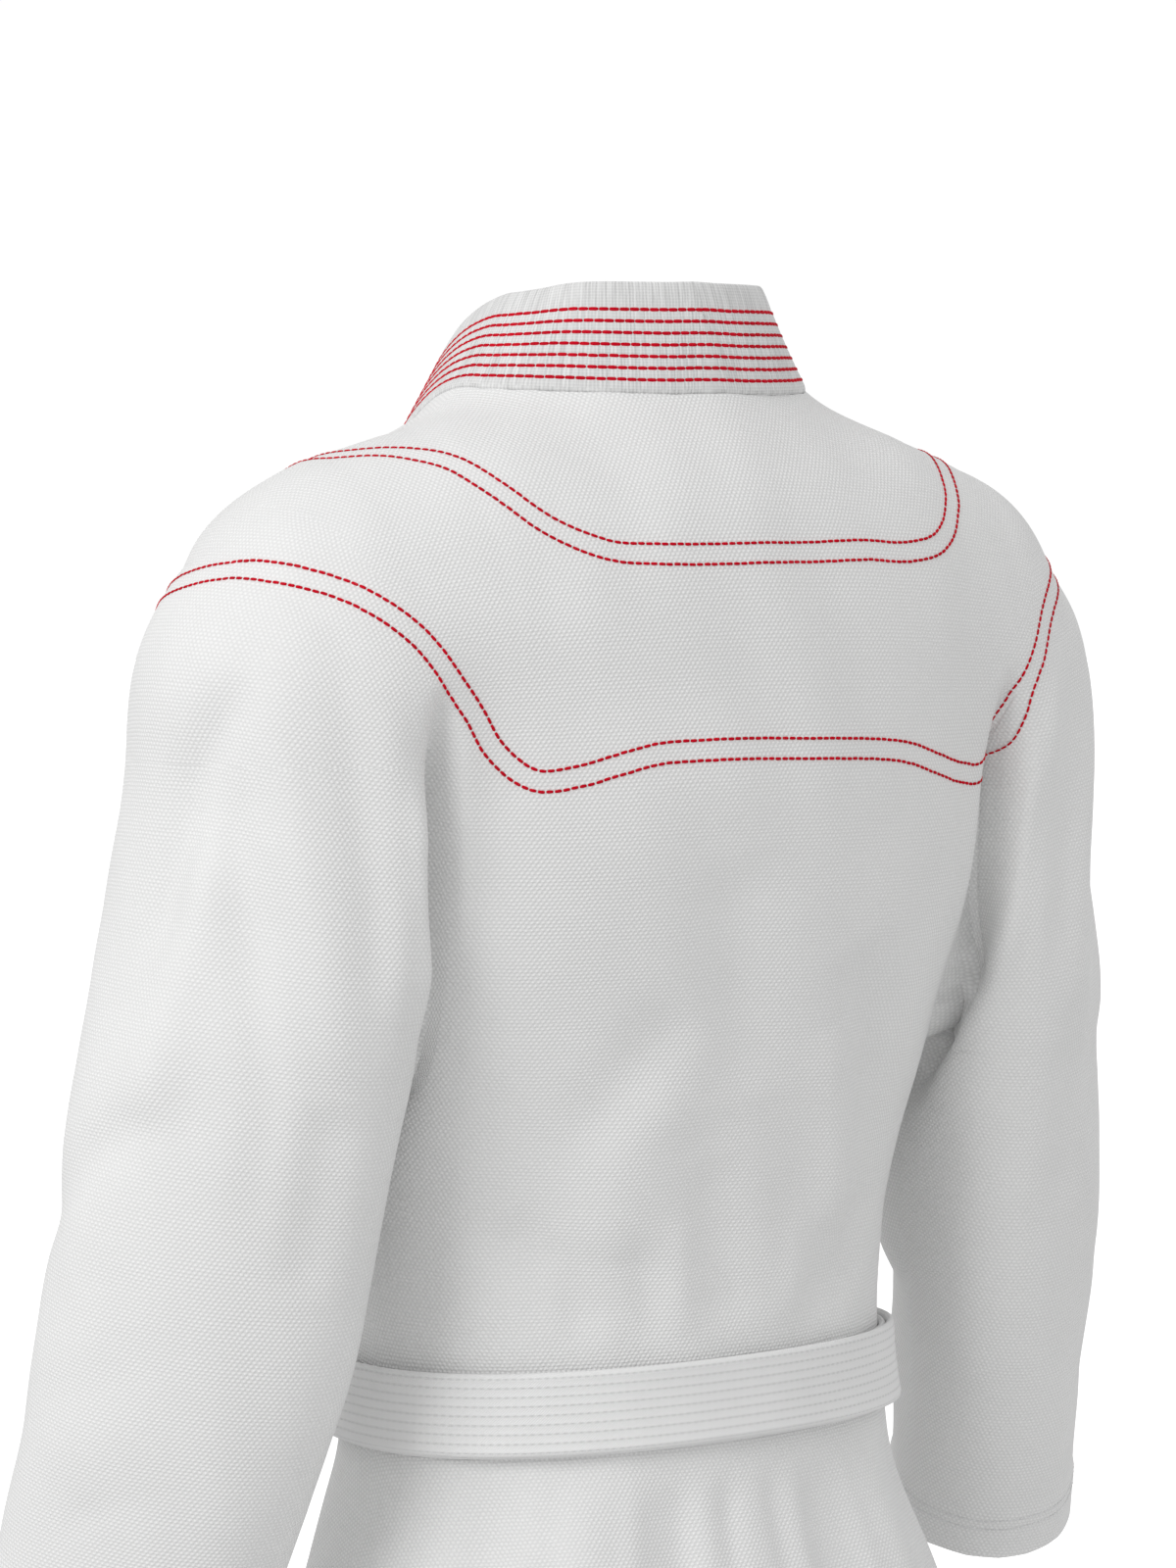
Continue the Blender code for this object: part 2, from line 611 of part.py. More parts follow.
# each fold: side (0 both, 1 left, -1 right), height of the ridge, half width, points
FOLDS = [
    # back
    (1, -0.0050, 0.022, [(0.020, 0.121, -0.215), (0.012, 0.113, -0.270), (0.005, 0.104, -0.335)]),
    (1, -0.0045, 0.012, [(0.021, 0.099, -0.360), (0.012, 0.095, -0.400), (0.004, 0.092, -0.450)]),
    (1, -0.0050, 0.014, [(0.040, 0.106, -0.285), (0.064, 0.097, -0.317), (0.090, 0.082, -0.352)]),
    (1, 0.0055, 0.018, [(0.048, 0.100, -0.320), (0.064, 0.092, -0.350), (0.070, 0.084, -0.410)]),
    (-1, -0.0050, 0.014, [(-0.055, 0.108, -0.262), (-0.072, 0.100, -0.296), (-0.086, 0.088, -0.345)]),
    (-1, 0.0045, 0.016, [(-0.045, 0.104, -0.300), (-0.058, 0.096, -0.350), (-0.060, 0.088, -0.410)]),
    (-1, -0.0060, 0.013, [(-0.100, 0.066, -0.388), (-0.078, 0.079, -0.419), (-0.050, 0.087, -0.452)]),
    (1, -0.0050, 0.012, [(0.118, 0.060, -0.385), (0.095, 0.072, -0.418), (0.075, 0.080, -0.450)]),
    # skirt behind
    (0, -0.0070, 0.018, [(0.040, 0.100, -0.505), (0.050, 0.120, -0.620), (0.056, 0.136, -0.745)]),
    (0, 0.0050, 0.018, [(0.084, 0.085, -0.510), (0.098, 0.105, -0.620), (0.110, 0.118, -0.745)]),
    (0, -0.0060, 0.016, [(0.120, 0.055, -0.505), (0.140, 0.070, -0.600), (0.155, 0.085, -0.745)]),
    # fronts
    (0, -0.0050, 0.016, [(0.125, -0.070, -0.330), (0.105, -0.092, -0.380), (0.075, -0.105, -0.445)]),
    (0, -0.0045, 0.013, [(0.140, -0.040, -0.380), (0.125, -0.062, -0.415), (0.105, -0.080, -0.448)]),
    (0, 0.0050, 0.018, [(0.128, -0.095, -0.240), (0.110, -0.105, -0.320), (0.090, -0.108, -0.400)]),
    (0, -0.0060, 0.018, [(0.100, -0.085, -0.510), (0.118, -0.090, -0.620), (0.128, -0.098, -0.745)]),
    (0, 0.0050, 0.018, [(0.135, -0.055, -0.515), (0.155, -0.060, -0.620), (0.175, -0.065, -0.745)]),
    # the armholes' deep creases, behind and in front
    (0, -0.0170, 0.0105, [
        (0.166, 0.089, -0.150), (0.163, 0.085, -0.200),
        (0.161, 0.077, -0.245), (0.163, 0.062, -0.290),
        (0.165, 0.038, -0.322), (0.165, 0.012, -0.350),
    ]),
    (0, -0.0110, 0.0110, [
        (0.168, -0.086, -0.160), (0.164, -0.084, -0.215),
        (0.162, -0.076, -0.260), (0.164, -0.056, -0.300),
        (0.165, -0.026, -0.328),
    ]),
    # sleeves: behind the shoulder, elbow, underarm
    (0, -0.0050, 0.013, [
        (0.250, 0.052, -0.130), (0.262, 0.022, -0.178),
        (0.267, 0.014, -0.220), (0.276, 0.006, -0.262),
    ]),
    (0, 0.0050, 0.016, [(0.262, 0.040, -0.205), (0.276, 0.028, -0.270), (0.288, 0.018, -0.335)]),
    (0, -0.0035, 0.014, [
        (0.282, 0.028, -0.330), (0.296, -0.008, -0.348),
        (0.298, -0.044, -0.380), (0.280, -0.080, -0.400),
    ]),
    (0, 0.0130, 0.028, [(0.190, -0.015, -0.345), (0.189, -0.020, -0.400), (0.196, -0.030, -0.460)]),
    (0, -0.0035, 0.016, [(0.221, 0.077, -0.320), (0.224, 0.070, -0.365), (0.228, 0.060, -0.415)]),
    (0, 0.0035, 0.011, [(0.196, 0.088, -0.140), (0.188, 0.086, -0.224), (0.190, 0.084, -0.290)]),
    (0, -0.0060, 0.013, [(0.215, -0.075, -0.350), (0.250, -0.082, -0.372), (0.285, -0.060, -0.392)]),
    (0, -0.0050, 0.012, [(0.205, -0.070, -0.395), (0.245, -0.085, -0.412), (0.285, -0.066, -0.430)]),
    (0, -0.0030, 0.014, [(0.272, 0.018, -0.440), (0.296, -0.030, -0.462), (0.290, -0.070, -0.500)]),
]


def fold_height(p, folds):
    """How far the folds move the cloth outward at each point."""
    total = np.zeros(p.shape[:-1])
    for side, high, wide, path in folds:
        for mirror in ((1.0, -1.0) if side == 0 else (1.0,)):
            q = np.array(path) * np.array([mirror, 1.0, 1.0])
            seg = np.linalg.norm(np.diff(q, axis=0), axis=1)
            run = np.r_[0, np.cumsum(seg)]
            best = np.full(p.shape[:-1], 9.0)
            place = np.zeros(p.shape[:-1])
            for k in range(len(q) - 1):
                d = q[k + 1] - q[k]
                t = np.clip((p - q[k]) @ d / (d @ d), 0, 1)
                gap = np.linalg.norm(p - q[k] - t[..., None] * d, axis=-1)
                near = gap < best
                best = np.where(near, gap, best)
                place = np.where(near, run[k] + t * seg[k], place)
            along = place / run[-1]
            ends = smooth(0.35 + 3.0 * along) * smooth(0.35 + 3.0 * (1 - along))
            total += high * ends * np.exp(-((best / wide) ** 2))
    belt_zone = smooth((np.abs(p[..., 2] + 0.478 + 0.006 * (p[..., 1] < 0)) - 0.022) / 0.03)
    return total * belt_zone


def merged(grids, f, folds=FOLDS):
    """One panel: its points, outward normals and faces, with the folds put in."""
    points, faces, _, _ = join(grids)
    g = gradient(points, f)
    normals = eye(g)
    faces = [x for x in faces if len(x) > 2]
    faces = turn_out(points, faces, normals)
    points = points + normals * fold_height(points, folds)[:, None]
    return points, normals, faces


# colour, roughness and metallic value of each kind of cloth
FINISH = {
    "pearl_weave": ((0.87, 0.87, 0.88), 0.85, 0.0),
    "collar_rib": ((0.86, 0.86, 0.87), 0.82, 0.0),
    "belt_cotton": ((0.87, 0.87, 0.87), 0.80, 0.0),
}


def finish(name, kind):
    """The object's own material."""
    colour, roughness, metallic = FINISH[kind]
    material = bpy.data.materials.new(name)
    material.use_nodes = True
    skin = material.node_tree.nodes["Principled BSDF"]
    skin.inputs["Base Color"].default_value = (*colour, 1.0)
    skin.inputs["Roughness"].default_value = roughness
    skin.inputs["Metallic"].default_value = metallic
    return material


def solid(name, points, faces, kind="pearl_weave"):
    mesh = bpy.data.meshes.new(name)
    mesh.from_pydata([tuple(map(float, p)) for p in points], [], [list(map(int, f)) for f in faces])
    mesh.materials.append(finish(name, kind))
    mesh.update()
    thing = bpy.data.objects.new(name, mesh)
    bpy.context.scene.collection.objects.link(thing)
    return thing


def seam_gap(points):
    """The seam allowance by place: the vents open toward the hem, free edges keep their line."""
    z = points[:, 2]
    gap = np.full(len(points), SEAM)
    gap = np.where(z < VENT, SEAM + 0.004 * (VENT - z) / (VENT - HEM), gap)
    return gap


def turns(rows_up, rows_all):
    """The angle over the shoulder for each row of a front."""
    return np.r_[np.linspace(90, 180, rows_up + 1), np.full(rows_all - rows_up - 1, 180.0)]


def collar_half(front, cols_neck, across, folds=FOLDS):
    """Half of the collar band, from centre back down the front to the hem."""
    s = np.linspace(0, 1, cols_neck + 1)
    x, turn = neck_behind(s)
    start = np.stack([x, np.full(len(s), MIDDLE), np.full(len(s), SHELF)], -1)
    t = np.radians(turn)
    neck = shoot(start, np.stack([0 * t, np.cos(t), np.sin(t)], -1))
    edge = np.concatenate([neck, front[1:, 0]])
    turn = np.r_[turn, turns(ROWS_UP, len(front))[1:]]
    grid = band_grid(edge, turn, across)
    lift = eye(gradient(grid, trunk_field))
    du = np.gradient(grid, axis=0)
    dv = np.gradient(grid, axis=1)
    own = eye(np.cross(dv, du))
    own = own * np.sign((own * lift).sum(-1, keepdims=True) + 1e-9)
    lie = smooth((turn - LIE[0]) / (LIE[1] - LIE[0]))[:, None, None]
    normal = eye(lift * lie + own * (1 - lie))
    fold = fold_height(grid, folds) * smooth((turn - 150) / 30)[:, None]
    edge_fold = fold_height(grid[:, 0], folds)
    fold[:, 0] = edge_fold
    grid = grid + normal * fold[..., None]
    return grid, normal, turn


def build():
    for old in list(bpy.data.objects):
        bpy.data.objects.remove(old, do_unlink=True)

    back = back_grid(COLS_NECK, COLS_SIDE, ROWS_UP, ROWS_MID, ROWS_LOW)
    front = front_grid(COLS_FRONT, ROWS_UP, ROWS_MID, ROWS_LOW)
    cap, tube = sleeve_grid(COLS_SLEEVE, 2 * ROWS_UP, ROWS_MID, ROWS_ARM)

    p, n, f = merged([back], trunk_field)
    p = draw_in(p, n, f, seam_gap)
    solid("back", *wall(p, f, n, 0.0, CLOTH))

    band_rim = free_edge(front[:, 0], turns(ROWS_UP, len(front)))
    p, n, f = merged([front], trunk_field)
    p = draw_in(p, n, f, seam_gap)
    solid("front_left", *wall(p, f, n, LAP * over(p, band_rim), CLOTH))
    p, n, f = merged([front * np.array([-1.0, 1, 1])], trunk_field)
    p = draw_in(p, n, f, seam_gap)
    solid("front_right", *wall(p, f, n, 0.0, CLOTH))

    for side, name in ((1.0, "sleeve_left"), (-1.0, "sleeve_right")):
        flip = np.array([side, 1, 1])
        p, n, f = merged([cap[::-1] * flip, tube * flip], sleeve_field)
        p = draw_in(p, n, f, lambda q: np.full(len(q), SEAM))
        solid(name, *wall(p, f, n, 0.0, CLOTH))

    halves = []
    for side in (1.0, -1.0):
        flip = np.array([side, 1, 1])
        grid, normal, _ = collar_half(front, COLS_NECK, 4)
        grid, normal = grid * flip, normal * flip
        halves.append((grid, normal))
    (lg, ln), (rg, rn) = halves
    grid = np.concatenate([rg[:0:-1], lg])
    normal = np.concatenate([rn[:0:-1], ln])
    lifted = np.concatenate([np.zeros(rg[:0:-1].shape[:2]), over(lg, band_rim)])
    step = eye(grid[:, 1] - grid[:, 0])
    grid[:, 0] += step * SEAM
    flat, faces = quads(grid)
    normals = normal.reshape(-1, 3)
    faces = [list(map(int, x)) for x in faces]
    faces = turn_out(flat, faces, normals)
    out = 0.001 + (LAP + 0.001) * lifted.reshape(-1)
    solid("collar", *wall(flat, faces, normals, out, BAND_THICK), "collar_rib")

    belt()
    knot()
    tail("belt_tail_left", TAIL_LEFT)
    tail("belt_tail_right", TAIL_RIGHT)


# middle of the belt's end: x, y, z, lean of its width from level in degrees
TAIL_LEFT = np.array([
    (0.0174, -0.1380, -0.5094, 24),
    (0.031, -0.1400, -0.5500, 22),
    (0.046, -0.1420, -0.5950, 17),
    (0.058, -0.1430, -0.6450, 13),
    (0.067, -0.1450, -0.6950, 10),
    (0.074, -0.1480, -0.7450, 8),
])
TAIL_RIGHT = np.array([
    (-0.0178, -0.1380, -0.5149, -20),
    (-0.034, -0.1410, -0.5510, -25),
    (-0.052, -0.1430, -0.5960, -20),
    (-0.067, -0.1430, -0.6450, -15),
    (-0.078, -0.1440, -0.6940, -11),
    (-0.086, -0.1460, -0.7330, -9),
])


def loft(name, rings):
    """A closed solid through rings of equal count, with flat ends."""
    rings = np.array(rings)
    count = rings.shape[1]
    faces = [list(range(count))[::-1]]
    for r in range(len(rings) - 1):
        for k in range(count):
            a, b = r * count + k, r * count + (k + 1) % count
            faces.append([a, b, b + count, a + count])
    last = (len(rings) - 1) * count
    faces.append(list(range(last, last + count)))
    points = rings.reshape(-1, 3)
    middle = points.mean(0)
    side = faces[1 + count * ((len(rings) - 1) // 2)]
    n = np.cross(points[side[1]] - points[side[0]], points[side[2]] - points[side[0]])
    centre = rings[(len(rings) - 1) // 2].mean(0)
    if n @ (points[side[0]] - centre) < 0:
        faces = [f[::-1] for f in faces]
    solid(name, points, faces, "belt_cotton")


def knot():
    """The belt's flat knot: a wrapped pillow leaning with the belt's last turn."""
    rings = []
    turn = np.linspace(0, 2 * np.pi, 19)[:-1]
    for k in np.linspace(-1, 1, 11):
        x = 0.030 * np.sin(k * np.pi / 2)
        size = (1 - min(0.999, abs(x / 0.031)) ** 3) ** (1 / 3)
        size = max(size, 0.35)
        c, s = np.cos(turn), np.sin(turn)
        y = -0.1388 + 0.0118 * (0.55 + 0.45 * size) * np.sign(c) * np.abs(c) ** 0.7
        z = -0.4880 + 0.12 * x + 0.0245 * size * np.sign(s) * np.abs(s) ** 0.7
        rings.append(np.stack([np.full(18, x), y, z], -1))
    loft("belt_knot", rings)


def tail(name, table):
    path = table[:, :3]
    fine = np.linspace(0, len(path) - 1, 11)
    at = np.arange(len(path), dtype=float)
    rows = read(np.column_stack([at, table]), fine)
    along = eye(np.gradient(rows[:, :3], axis=0))
    rings = []
    for row, way in zip(rows, along):
        lean = np.radians(row[3])
        across = eye(np.array([np.cos(lean), 0.0, np.sin(lean)]))
        across = eye(across - (across @ way) * way)
        out = eye(np.cross(across, way))
        ring = []
        for u, v in ((-1, -1), (-0.9, -1.25), (0.9, -1.25), (1, -1), (1, 1), (0.9, 1.25), (-0.9, 1.25), (-1, 1)):
            ring.append(row[:3] + across * 0.020 * u + out * 0.0018 * v)
        rings.append(ring)
    loft(name, rings)


def belt_line(angle):
    """Height of the belt's middle by angle from straight back."""
    return -0.478 - 0.012 * (1 - np.cos(angle)) / 2


def belt():
    turn = np.linspace(0, 2 * np.pi, 57)
    rows = []
    for k in (0.02, 0.0067, -0.0067, -0.02):
        z = belt_line(turn) + k
        cy = read(TORSO, z)[..., 1]
        start = np.stack([0 * turn, cy, z], -1)
        rows.append(shoot(start, np.stack([np.sin(turn), np.cos(turn), 0 * turn], -1), trunk_field))
    grid = np.array(rows)
    grid[:, -1] = grid[:, 0]
    points, faces, _, _ = join([grid])
    flat = points.copy()
    normals = gradient(points, trunk_field)
    normals[:, 2] = 0
    normals = eye(normals)
    faces = turn_out(points, faces, normals)
    x = np.abs(flat[:, 0])
    layers = smooth((0.150 - x) / 0.040) * smooth(-flat[:, 1] / 0.040)
    inner = 0.0012 + 0.0062 * layers
    solid("belt_wrap", *wall(points, faces, normals, inner + 0.008, 0.008), "belt_cotton")


build()
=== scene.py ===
"""Looks of a white jiu-jitsu gi jacket with its belt.

Metres. +Z is up, the front looks along -Y, the wearer's left is +X.
"""
import math

import bmesh
import bpy
import numpy as np
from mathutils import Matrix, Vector


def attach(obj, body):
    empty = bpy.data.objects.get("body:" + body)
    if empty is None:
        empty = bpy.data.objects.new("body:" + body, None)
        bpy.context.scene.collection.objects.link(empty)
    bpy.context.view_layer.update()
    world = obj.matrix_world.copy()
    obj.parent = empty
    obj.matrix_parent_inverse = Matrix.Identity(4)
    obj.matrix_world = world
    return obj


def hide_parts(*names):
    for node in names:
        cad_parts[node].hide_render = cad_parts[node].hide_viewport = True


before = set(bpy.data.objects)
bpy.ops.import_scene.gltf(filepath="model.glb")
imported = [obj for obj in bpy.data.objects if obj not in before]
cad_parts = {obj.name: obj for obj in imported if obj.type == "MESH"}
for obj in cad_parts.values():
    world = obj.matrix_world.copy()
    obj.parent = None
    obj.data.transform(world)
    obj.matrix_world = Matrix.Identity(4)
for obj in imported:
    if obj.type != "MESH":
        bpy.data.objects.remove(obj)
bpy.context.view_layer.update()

CLOTH = 0.002
BAND_THICK = 0.004
LAP = 0.0046
# how much finer the cells are cut, for laying flat and for the cloth itself
FLAT, FINE = 3, 6
# the belt behind, how much lower it sits in front, and where it presses folds flat
BELT_HEIGHT, BELT_DROP = -0.478, 0.012
BELT_HALF, BELT_EASE = 0.022, 0.03
SLEEVE_FROM = 0.168
HEM_ROWS = (0.022, 0.017)

COLS_NECK, COLS_SIDE = 7, 8
COLS_FRONT = 14
COLS_SLEEVE = 12
ROWS_UP, ROWS_MID, ROWS_LOW, ROWS_ARM = 12, 9, 22, 15


# height, half width, centre y, depth behind, depth in front
TORSO = np.array([
    (-0.02, 0.165, 0.005, 0.085, 0.075),
    (-0.08, 0.180, 0.000, 0.104, 0.095),
    (-0.13, 0.190, -0.008, 0.124, 0.108),
    (-0.18, 0.196, -0.012, 0.134, 0.118),
    (-0.24, 0.194, -0.014, 0.131, 0.122),
    (-0.30, 0.176, -0.016, 0.121, 0.118),
    (-0.36, 0.157, -0.016, 0.108, 0.108),
    (-0.42, 0.141, -0.016, 0.098, 0.098),
    (-0.47, 0.135, -0.014, 0.094, 0.094),
    (-0.52, 0.143, -0.010, 0.103, 0.096),
    (-0.60, 0.172, -0.004, 0.126, 0.108),
    (-0.74, 0.198, 0.000, 0.142, 0.122),
])
TORSO_POWER = 2.25
TORSO_TOP = (-0.055, 0.07)
# height, half width, centre y, depth behind, depth in front
NECK = np.array([
    (-0.10, 0.120, -0.005, 0.085, 0.085),
    (-0.05, 0.108, -0.008, 0.080, 0.080),
    (0.00, 0.090, -0.012, 0.073, 0.078),
    (0.03, 0.077, -0.016, 0.069, 0.076),
    (0.07, 0.066, -0.022, 0.066, 0.074),
])
# height, centre x, centre y, half long, half short, turn of the long axis
ARM = np.array([
    (-0.08, 0.183, 0.000, 0.066, 0.052, 0.0),
    (-0.13, 0.196, 0.001, 0.076, 0.056, 2.0),
    (-0.18, 0.205, 0.003, 0.082, 0.057, 10.0),
    (-0.24, 0.213, 0.007, 0.083, 0.055, 24.0),
    (-0.30, 0.225, 0.010, 0.081, 0.053, 36.0),
    (-0.36, 0.234, 0.006, 0.078, 0.050, 44.0),
    (-0.44, 0.244, -0.006, 0.077, 0.048, 46.0),
    (-0.52, 0.254, -0.026, 0.072, 0.048, 42.0),
    (-0.60, 0.264, -0.050, 0.066, 0.048, 36.0),
])
ARM_POWER = 2.1
ARM_TOP = (-0.085, 0.08)
# x, y, z, radius
SHOULDER = np.array([
    (0.00, 0.018, -0.085, 0.080),
    (0.10, 0.010, -0.090, 0.078),
    (0.165, 0.002, -0.102, 0.069),
    (0.190, 0.000, -0.124, 0.060),
])


def read(table, at):
    """The table's columns after the first, on a smooth curve through its rows."""
    order = np.argsort(table[:, 0])
    x, y = table[order, 0], table[order, 1:]
    slope = np.gradient(y, x, axis=0)
    at = np.clip(at, x[0], x[-1])
    i = np.clip(np.searchsorted(x, at) - 1, 0, len(x) - 2)
    h = x[i + 1] - x[i]
    t = (at - x[i]) / h
    t, h = t[..., None], h[..., None]
    return (
        (2 * t**3 - 3 * t**2 + 1) * y[i]
        + (t**3 - 2 * t**2 + t) * h * slope[i]
        + (3 * t**2 - 2 * t**3) * y[i + 1]
        + (t**3 - t**2) * h * slope[i + 1]
    )


def smooth_min(a, b, k):
    h = np.clip(0.5 + 0.5 * (b - a) / k, 0, 1)
    return b * (1 - h) + a * h - k * h * (1 - h)


def ring_gap(dx, dy, wide, deep, power):
    """How far a point lies outside an oval section, measured along its radius."""
    r = np.hypot(dx, dy) + 1e-9
    q = ((np.abs(dx) / wide) ** power + (np.abs(dy) / deep) ** power) ** (1 / power) + 1e-9
    return r * (1 - 1 / q)


def torso(p):
    wide, cy, behind, before = np.moveaxis(read(TORSO, p[..., 2]), -1, 0)
    dy = p[..., 1] - cy
    gap = ring_gap(p[..., 0], dy, wide, np.where(dy > 0, behind, before), TORSO_POWER)
    return -smooth_min(-gap, -(p[..., 2] - TORSO_TOP[0]), TORSO_TOP[1])


def neck(p):
    wide, cy, behind, before = np.moveaxis(read(NECK, p[..., 2]), -1, 0)
    dy = p[..., 1] - cy
    return ring_gap(p[..., 0], dy, wide, np.where(dy > 0, behind, before), 2.0)


def arm(p):
    cx, cy, long, short, turn = np.moveaxis(read(ARM, p[..., 2]), -1, 0)
    dx, dy = np.abs(p[..., 0]) - cx, p[..., 1] - cy
    c, s = np.cos(np.radians(turn)), np.sin(np.radians(turn))
    gap = ring_gap(c * dx + s * dy, c * dy - s * dx, short, long, ARM_POWER)
    return -smooth_min(-gap, -(p[..., 2] - ARM_TOP[0]), ARM_TOP[1])


def shoulder(p):
    q = p.copy()
    q[..., 0] = np.abs(q[..., 0])
    best = None
    for a, b in zip(SHOULDER[:-1], SHOULDER[1:]):
        d = b[:3] - a[:3]
        t = np.clip(((q - a[:3]) @ d) / (d @ d), 0, 1)
        gap = np.linalg.norm(q - a[:3] - t[..., None] * d, axis=-1) - (a[3] + t * (b[3] - a[3]))
        best = gap if best is None else np.minimum(best, gap)
    return best


def body(p):
    trunk = smooth_min(torso(p), shoulder(p), 0.06)
    return smooth_min(trunk, neck(p), 0.045)


def join_radius(z):
    t = np.clip((z + 0.33) / 0.23, 0, 1)
    return 0.010 + 0.050 * t * t * (3 - 2 * t)


def field(p):
    return smooth_min(body(p), arm(p), join_radius(p[..., 2]))


def gradient(p, f=field, h=5e-4):
    g = np.empty(p.shape)
    for k in range(3):
        step = np.zeros(3)
        step[k] = h
        g[..., k] = (f(p + step) - f(p - step)) / (2 * h)
    return g


def settle(p, f=field, rounds=6):
    """The points moved onto the cloth's surface, and its outward normals there."""
    p = np.array(p, float)
    for _ in range(rounds):
        g = gradient(p, f)
        p = p - f(p)[..., None] * g / np.maximum((g * g).sum(-1), 1e-6)[..., None]
    g = gradient(p, f)
    return p, g / np.linalg.norm(g, axis=-1, keepdims=True)


def shoot(start, direction, f=field, reach=0.36, steps=90):
    """Where each ray first leaves the cloth's hollow."""
    start, direction = np.broadcast_arrays(np.asarray(start, float), np.asarray(direction, float))
    direction = direction / np.linalg.norm(direction, axis=-1, keepdims=True)
    at = np.linspace(0, reach, steps)
    v = f(start[..., None, :] + at[:, None] * direction[..., None, :])
    out = v > 0
    first = np.where(out.any(-1), out.argmax(-1), steps - 1)
    low, high = at[np.maximum(first - 1, 0)], at[first]
    for _ in range(24):
        mid = (low + high) / 2
        inside = f(start + mid[..., None] * direction) <= 0
        low, high = np.where(inside, mid, low), np.where(inside, high, mid)
    return start + ((low + high) / 2)[..., None] * direction


SHELF = -0.17
MIDDLE = -0.004


def trunk_field(p):
    """The jacket's body, with the sleeves let go below the underarm."""
    away = 1.5 * np.maximum(0, -0.345 - p[..., 2])
    return smooth_min(body(p), arm(p) + away, join_radius(p[..., 2]))


def sleeve_field(p):
    away = 1.5 * np.maximum(0, -0.345 - p[..., 2])
    return smooth_min(body(p) + away, arm(p), join_radius(p[..., 2]))


def find_underarm():
    """The lowest point of the armhole, where sleeve and side part."""
    z = np.linspace(-0.38, -0.24, 57)
    y = np.linspace(-0.06, 0.06, 49)
    x = np.linspace(0.13, 0.21, 65)
    zz, yy, xx = np.meshgrid(z, y, x, indexing="ij")
    ridge = field(np.stack([xx, yy, zz], -1)).max(-1)
    low = ridge.min(1)
    k = np.where(low < 0)[0][0]
    t = low[k - 1] / (low[k - 1] - low[k])
    height = z[k - 1] + t * (z[k] - z[k - 1])
    at_y = y[ridge[k].argmin()]
    line = np.stack([x, np.full_like(x, at_y), np.full_like(x, height)], -1)
    return np.array([x[field(line).argmax()], at_y, height])


UNDERARM = find_underarm()
HEM = -0.74
VENT = -0.60
CUFF = -0.585
NECK_SIDE = 0.097

# angle from straight back over the shoulder to straight front, half width at the armhole
ARMHOLE = np.array([
    (0, 0.168),
    (30, 0.180),
    (60, 0.204),
    (90, 0.219),
    (120, 0.204),
    (150, 0.178),
    (180, 0.168),
])
# angle over the shoulder, half width at the collar band's sewn edge
LAPEL_TOP = np.array([
    (90, 0.097),
    (110, 0.101),
    (135, 0.103),
    (160, 0.093),
    (180, 0.078),
])
# height, x of the collar band's sewn edge
LAPEL = np.array([
    (-0.17, 0.078),
    (-0.20, 0.066),
    (-0.30, 0.029),
    (-0.40, -0.006),
    (-0.47, -0.029),
    (-0.60, -0.047),
    (-0.74, -0.062),
])


def eye(v):
    return v / np.maximum(np.linalg.norm(v, axis=-1, keepdims=True), 1e-12)


def armhole_x(z):
    """Half width of the armhole seam between the shelf and the underarm."""
    t = np.clip((z - UNDERARM[2]) / (SHELF - UNDERARM[2]), 0, 1)
    return UNDERARM[0] + (ARMHOLE[0, 1] - UNDERARM[0]) * t * t * (3 - 2 * t)


def armhole_y(z):
    t = np.clip((z - UNDERARM[2]) / (SHELF - UNDERARM[2]), 0, 1)
    return UNDERARM[1] + (MIDDLE - UNDERARM[1]) * t


def armhole_point(z, side):
    """The seam point behind (side 1) or in front (side -1), by height."""
    z = np.asarray(z, float)
    start = np.stack([armhole_x(z), armhole_y(z), z], -1)
    hit = shoot(start, np.array([0.0, side, 0.0]))
    hit[z <= UNDERARM[2] + 1e-9] = UNDERARM
    return hit


def side_point(z):
    """The side seam, from the underarm to the hem."""
    z = np.asarray(z, float)
    cy = read(TORSO, z)[..., 1]
    t = np.clip((UNDERARM[2] - z) / 0.07, 0, 1)[..., None]
    start = np.stack([0 * z, cy, z], -1)
    aim = eye(UNDERARM - np.array([0, read(TORSO, UNDERARM[2])[1], UNDERARM[2]]))
    way = eye(aim * (1 - t * t * (3 - 2 * t)) + np.array([1.0, 0, 0]) * t * t * (3 - 2 * t))
    hit = shoot(start, way, trunk_field)
    hit[z >= UNDERARM[2] - 1e-9] = UNDERARM
    return hit


def heights(rows_mid, rows_low):
    """Row heights from the shelf to the underarm and on to the hem."""
    t = np.linspace(1, 0, rows_mid + 1)
    mid = UNDERARM[2] + (SHELF - UNDERARM[2]) * t**2
    low = np.linspace(UNDERARM[2], HEM, rows_low + 1)[1:]
    return mid, low


def neck_behind(s):
    """Half width and angle of the neck seam behind, from centre back to the side."""
    a = np.pi / 2 * s
    return NECK_SIDE * np.sin(a), 67 + 23 * (1 - np.cos(a))


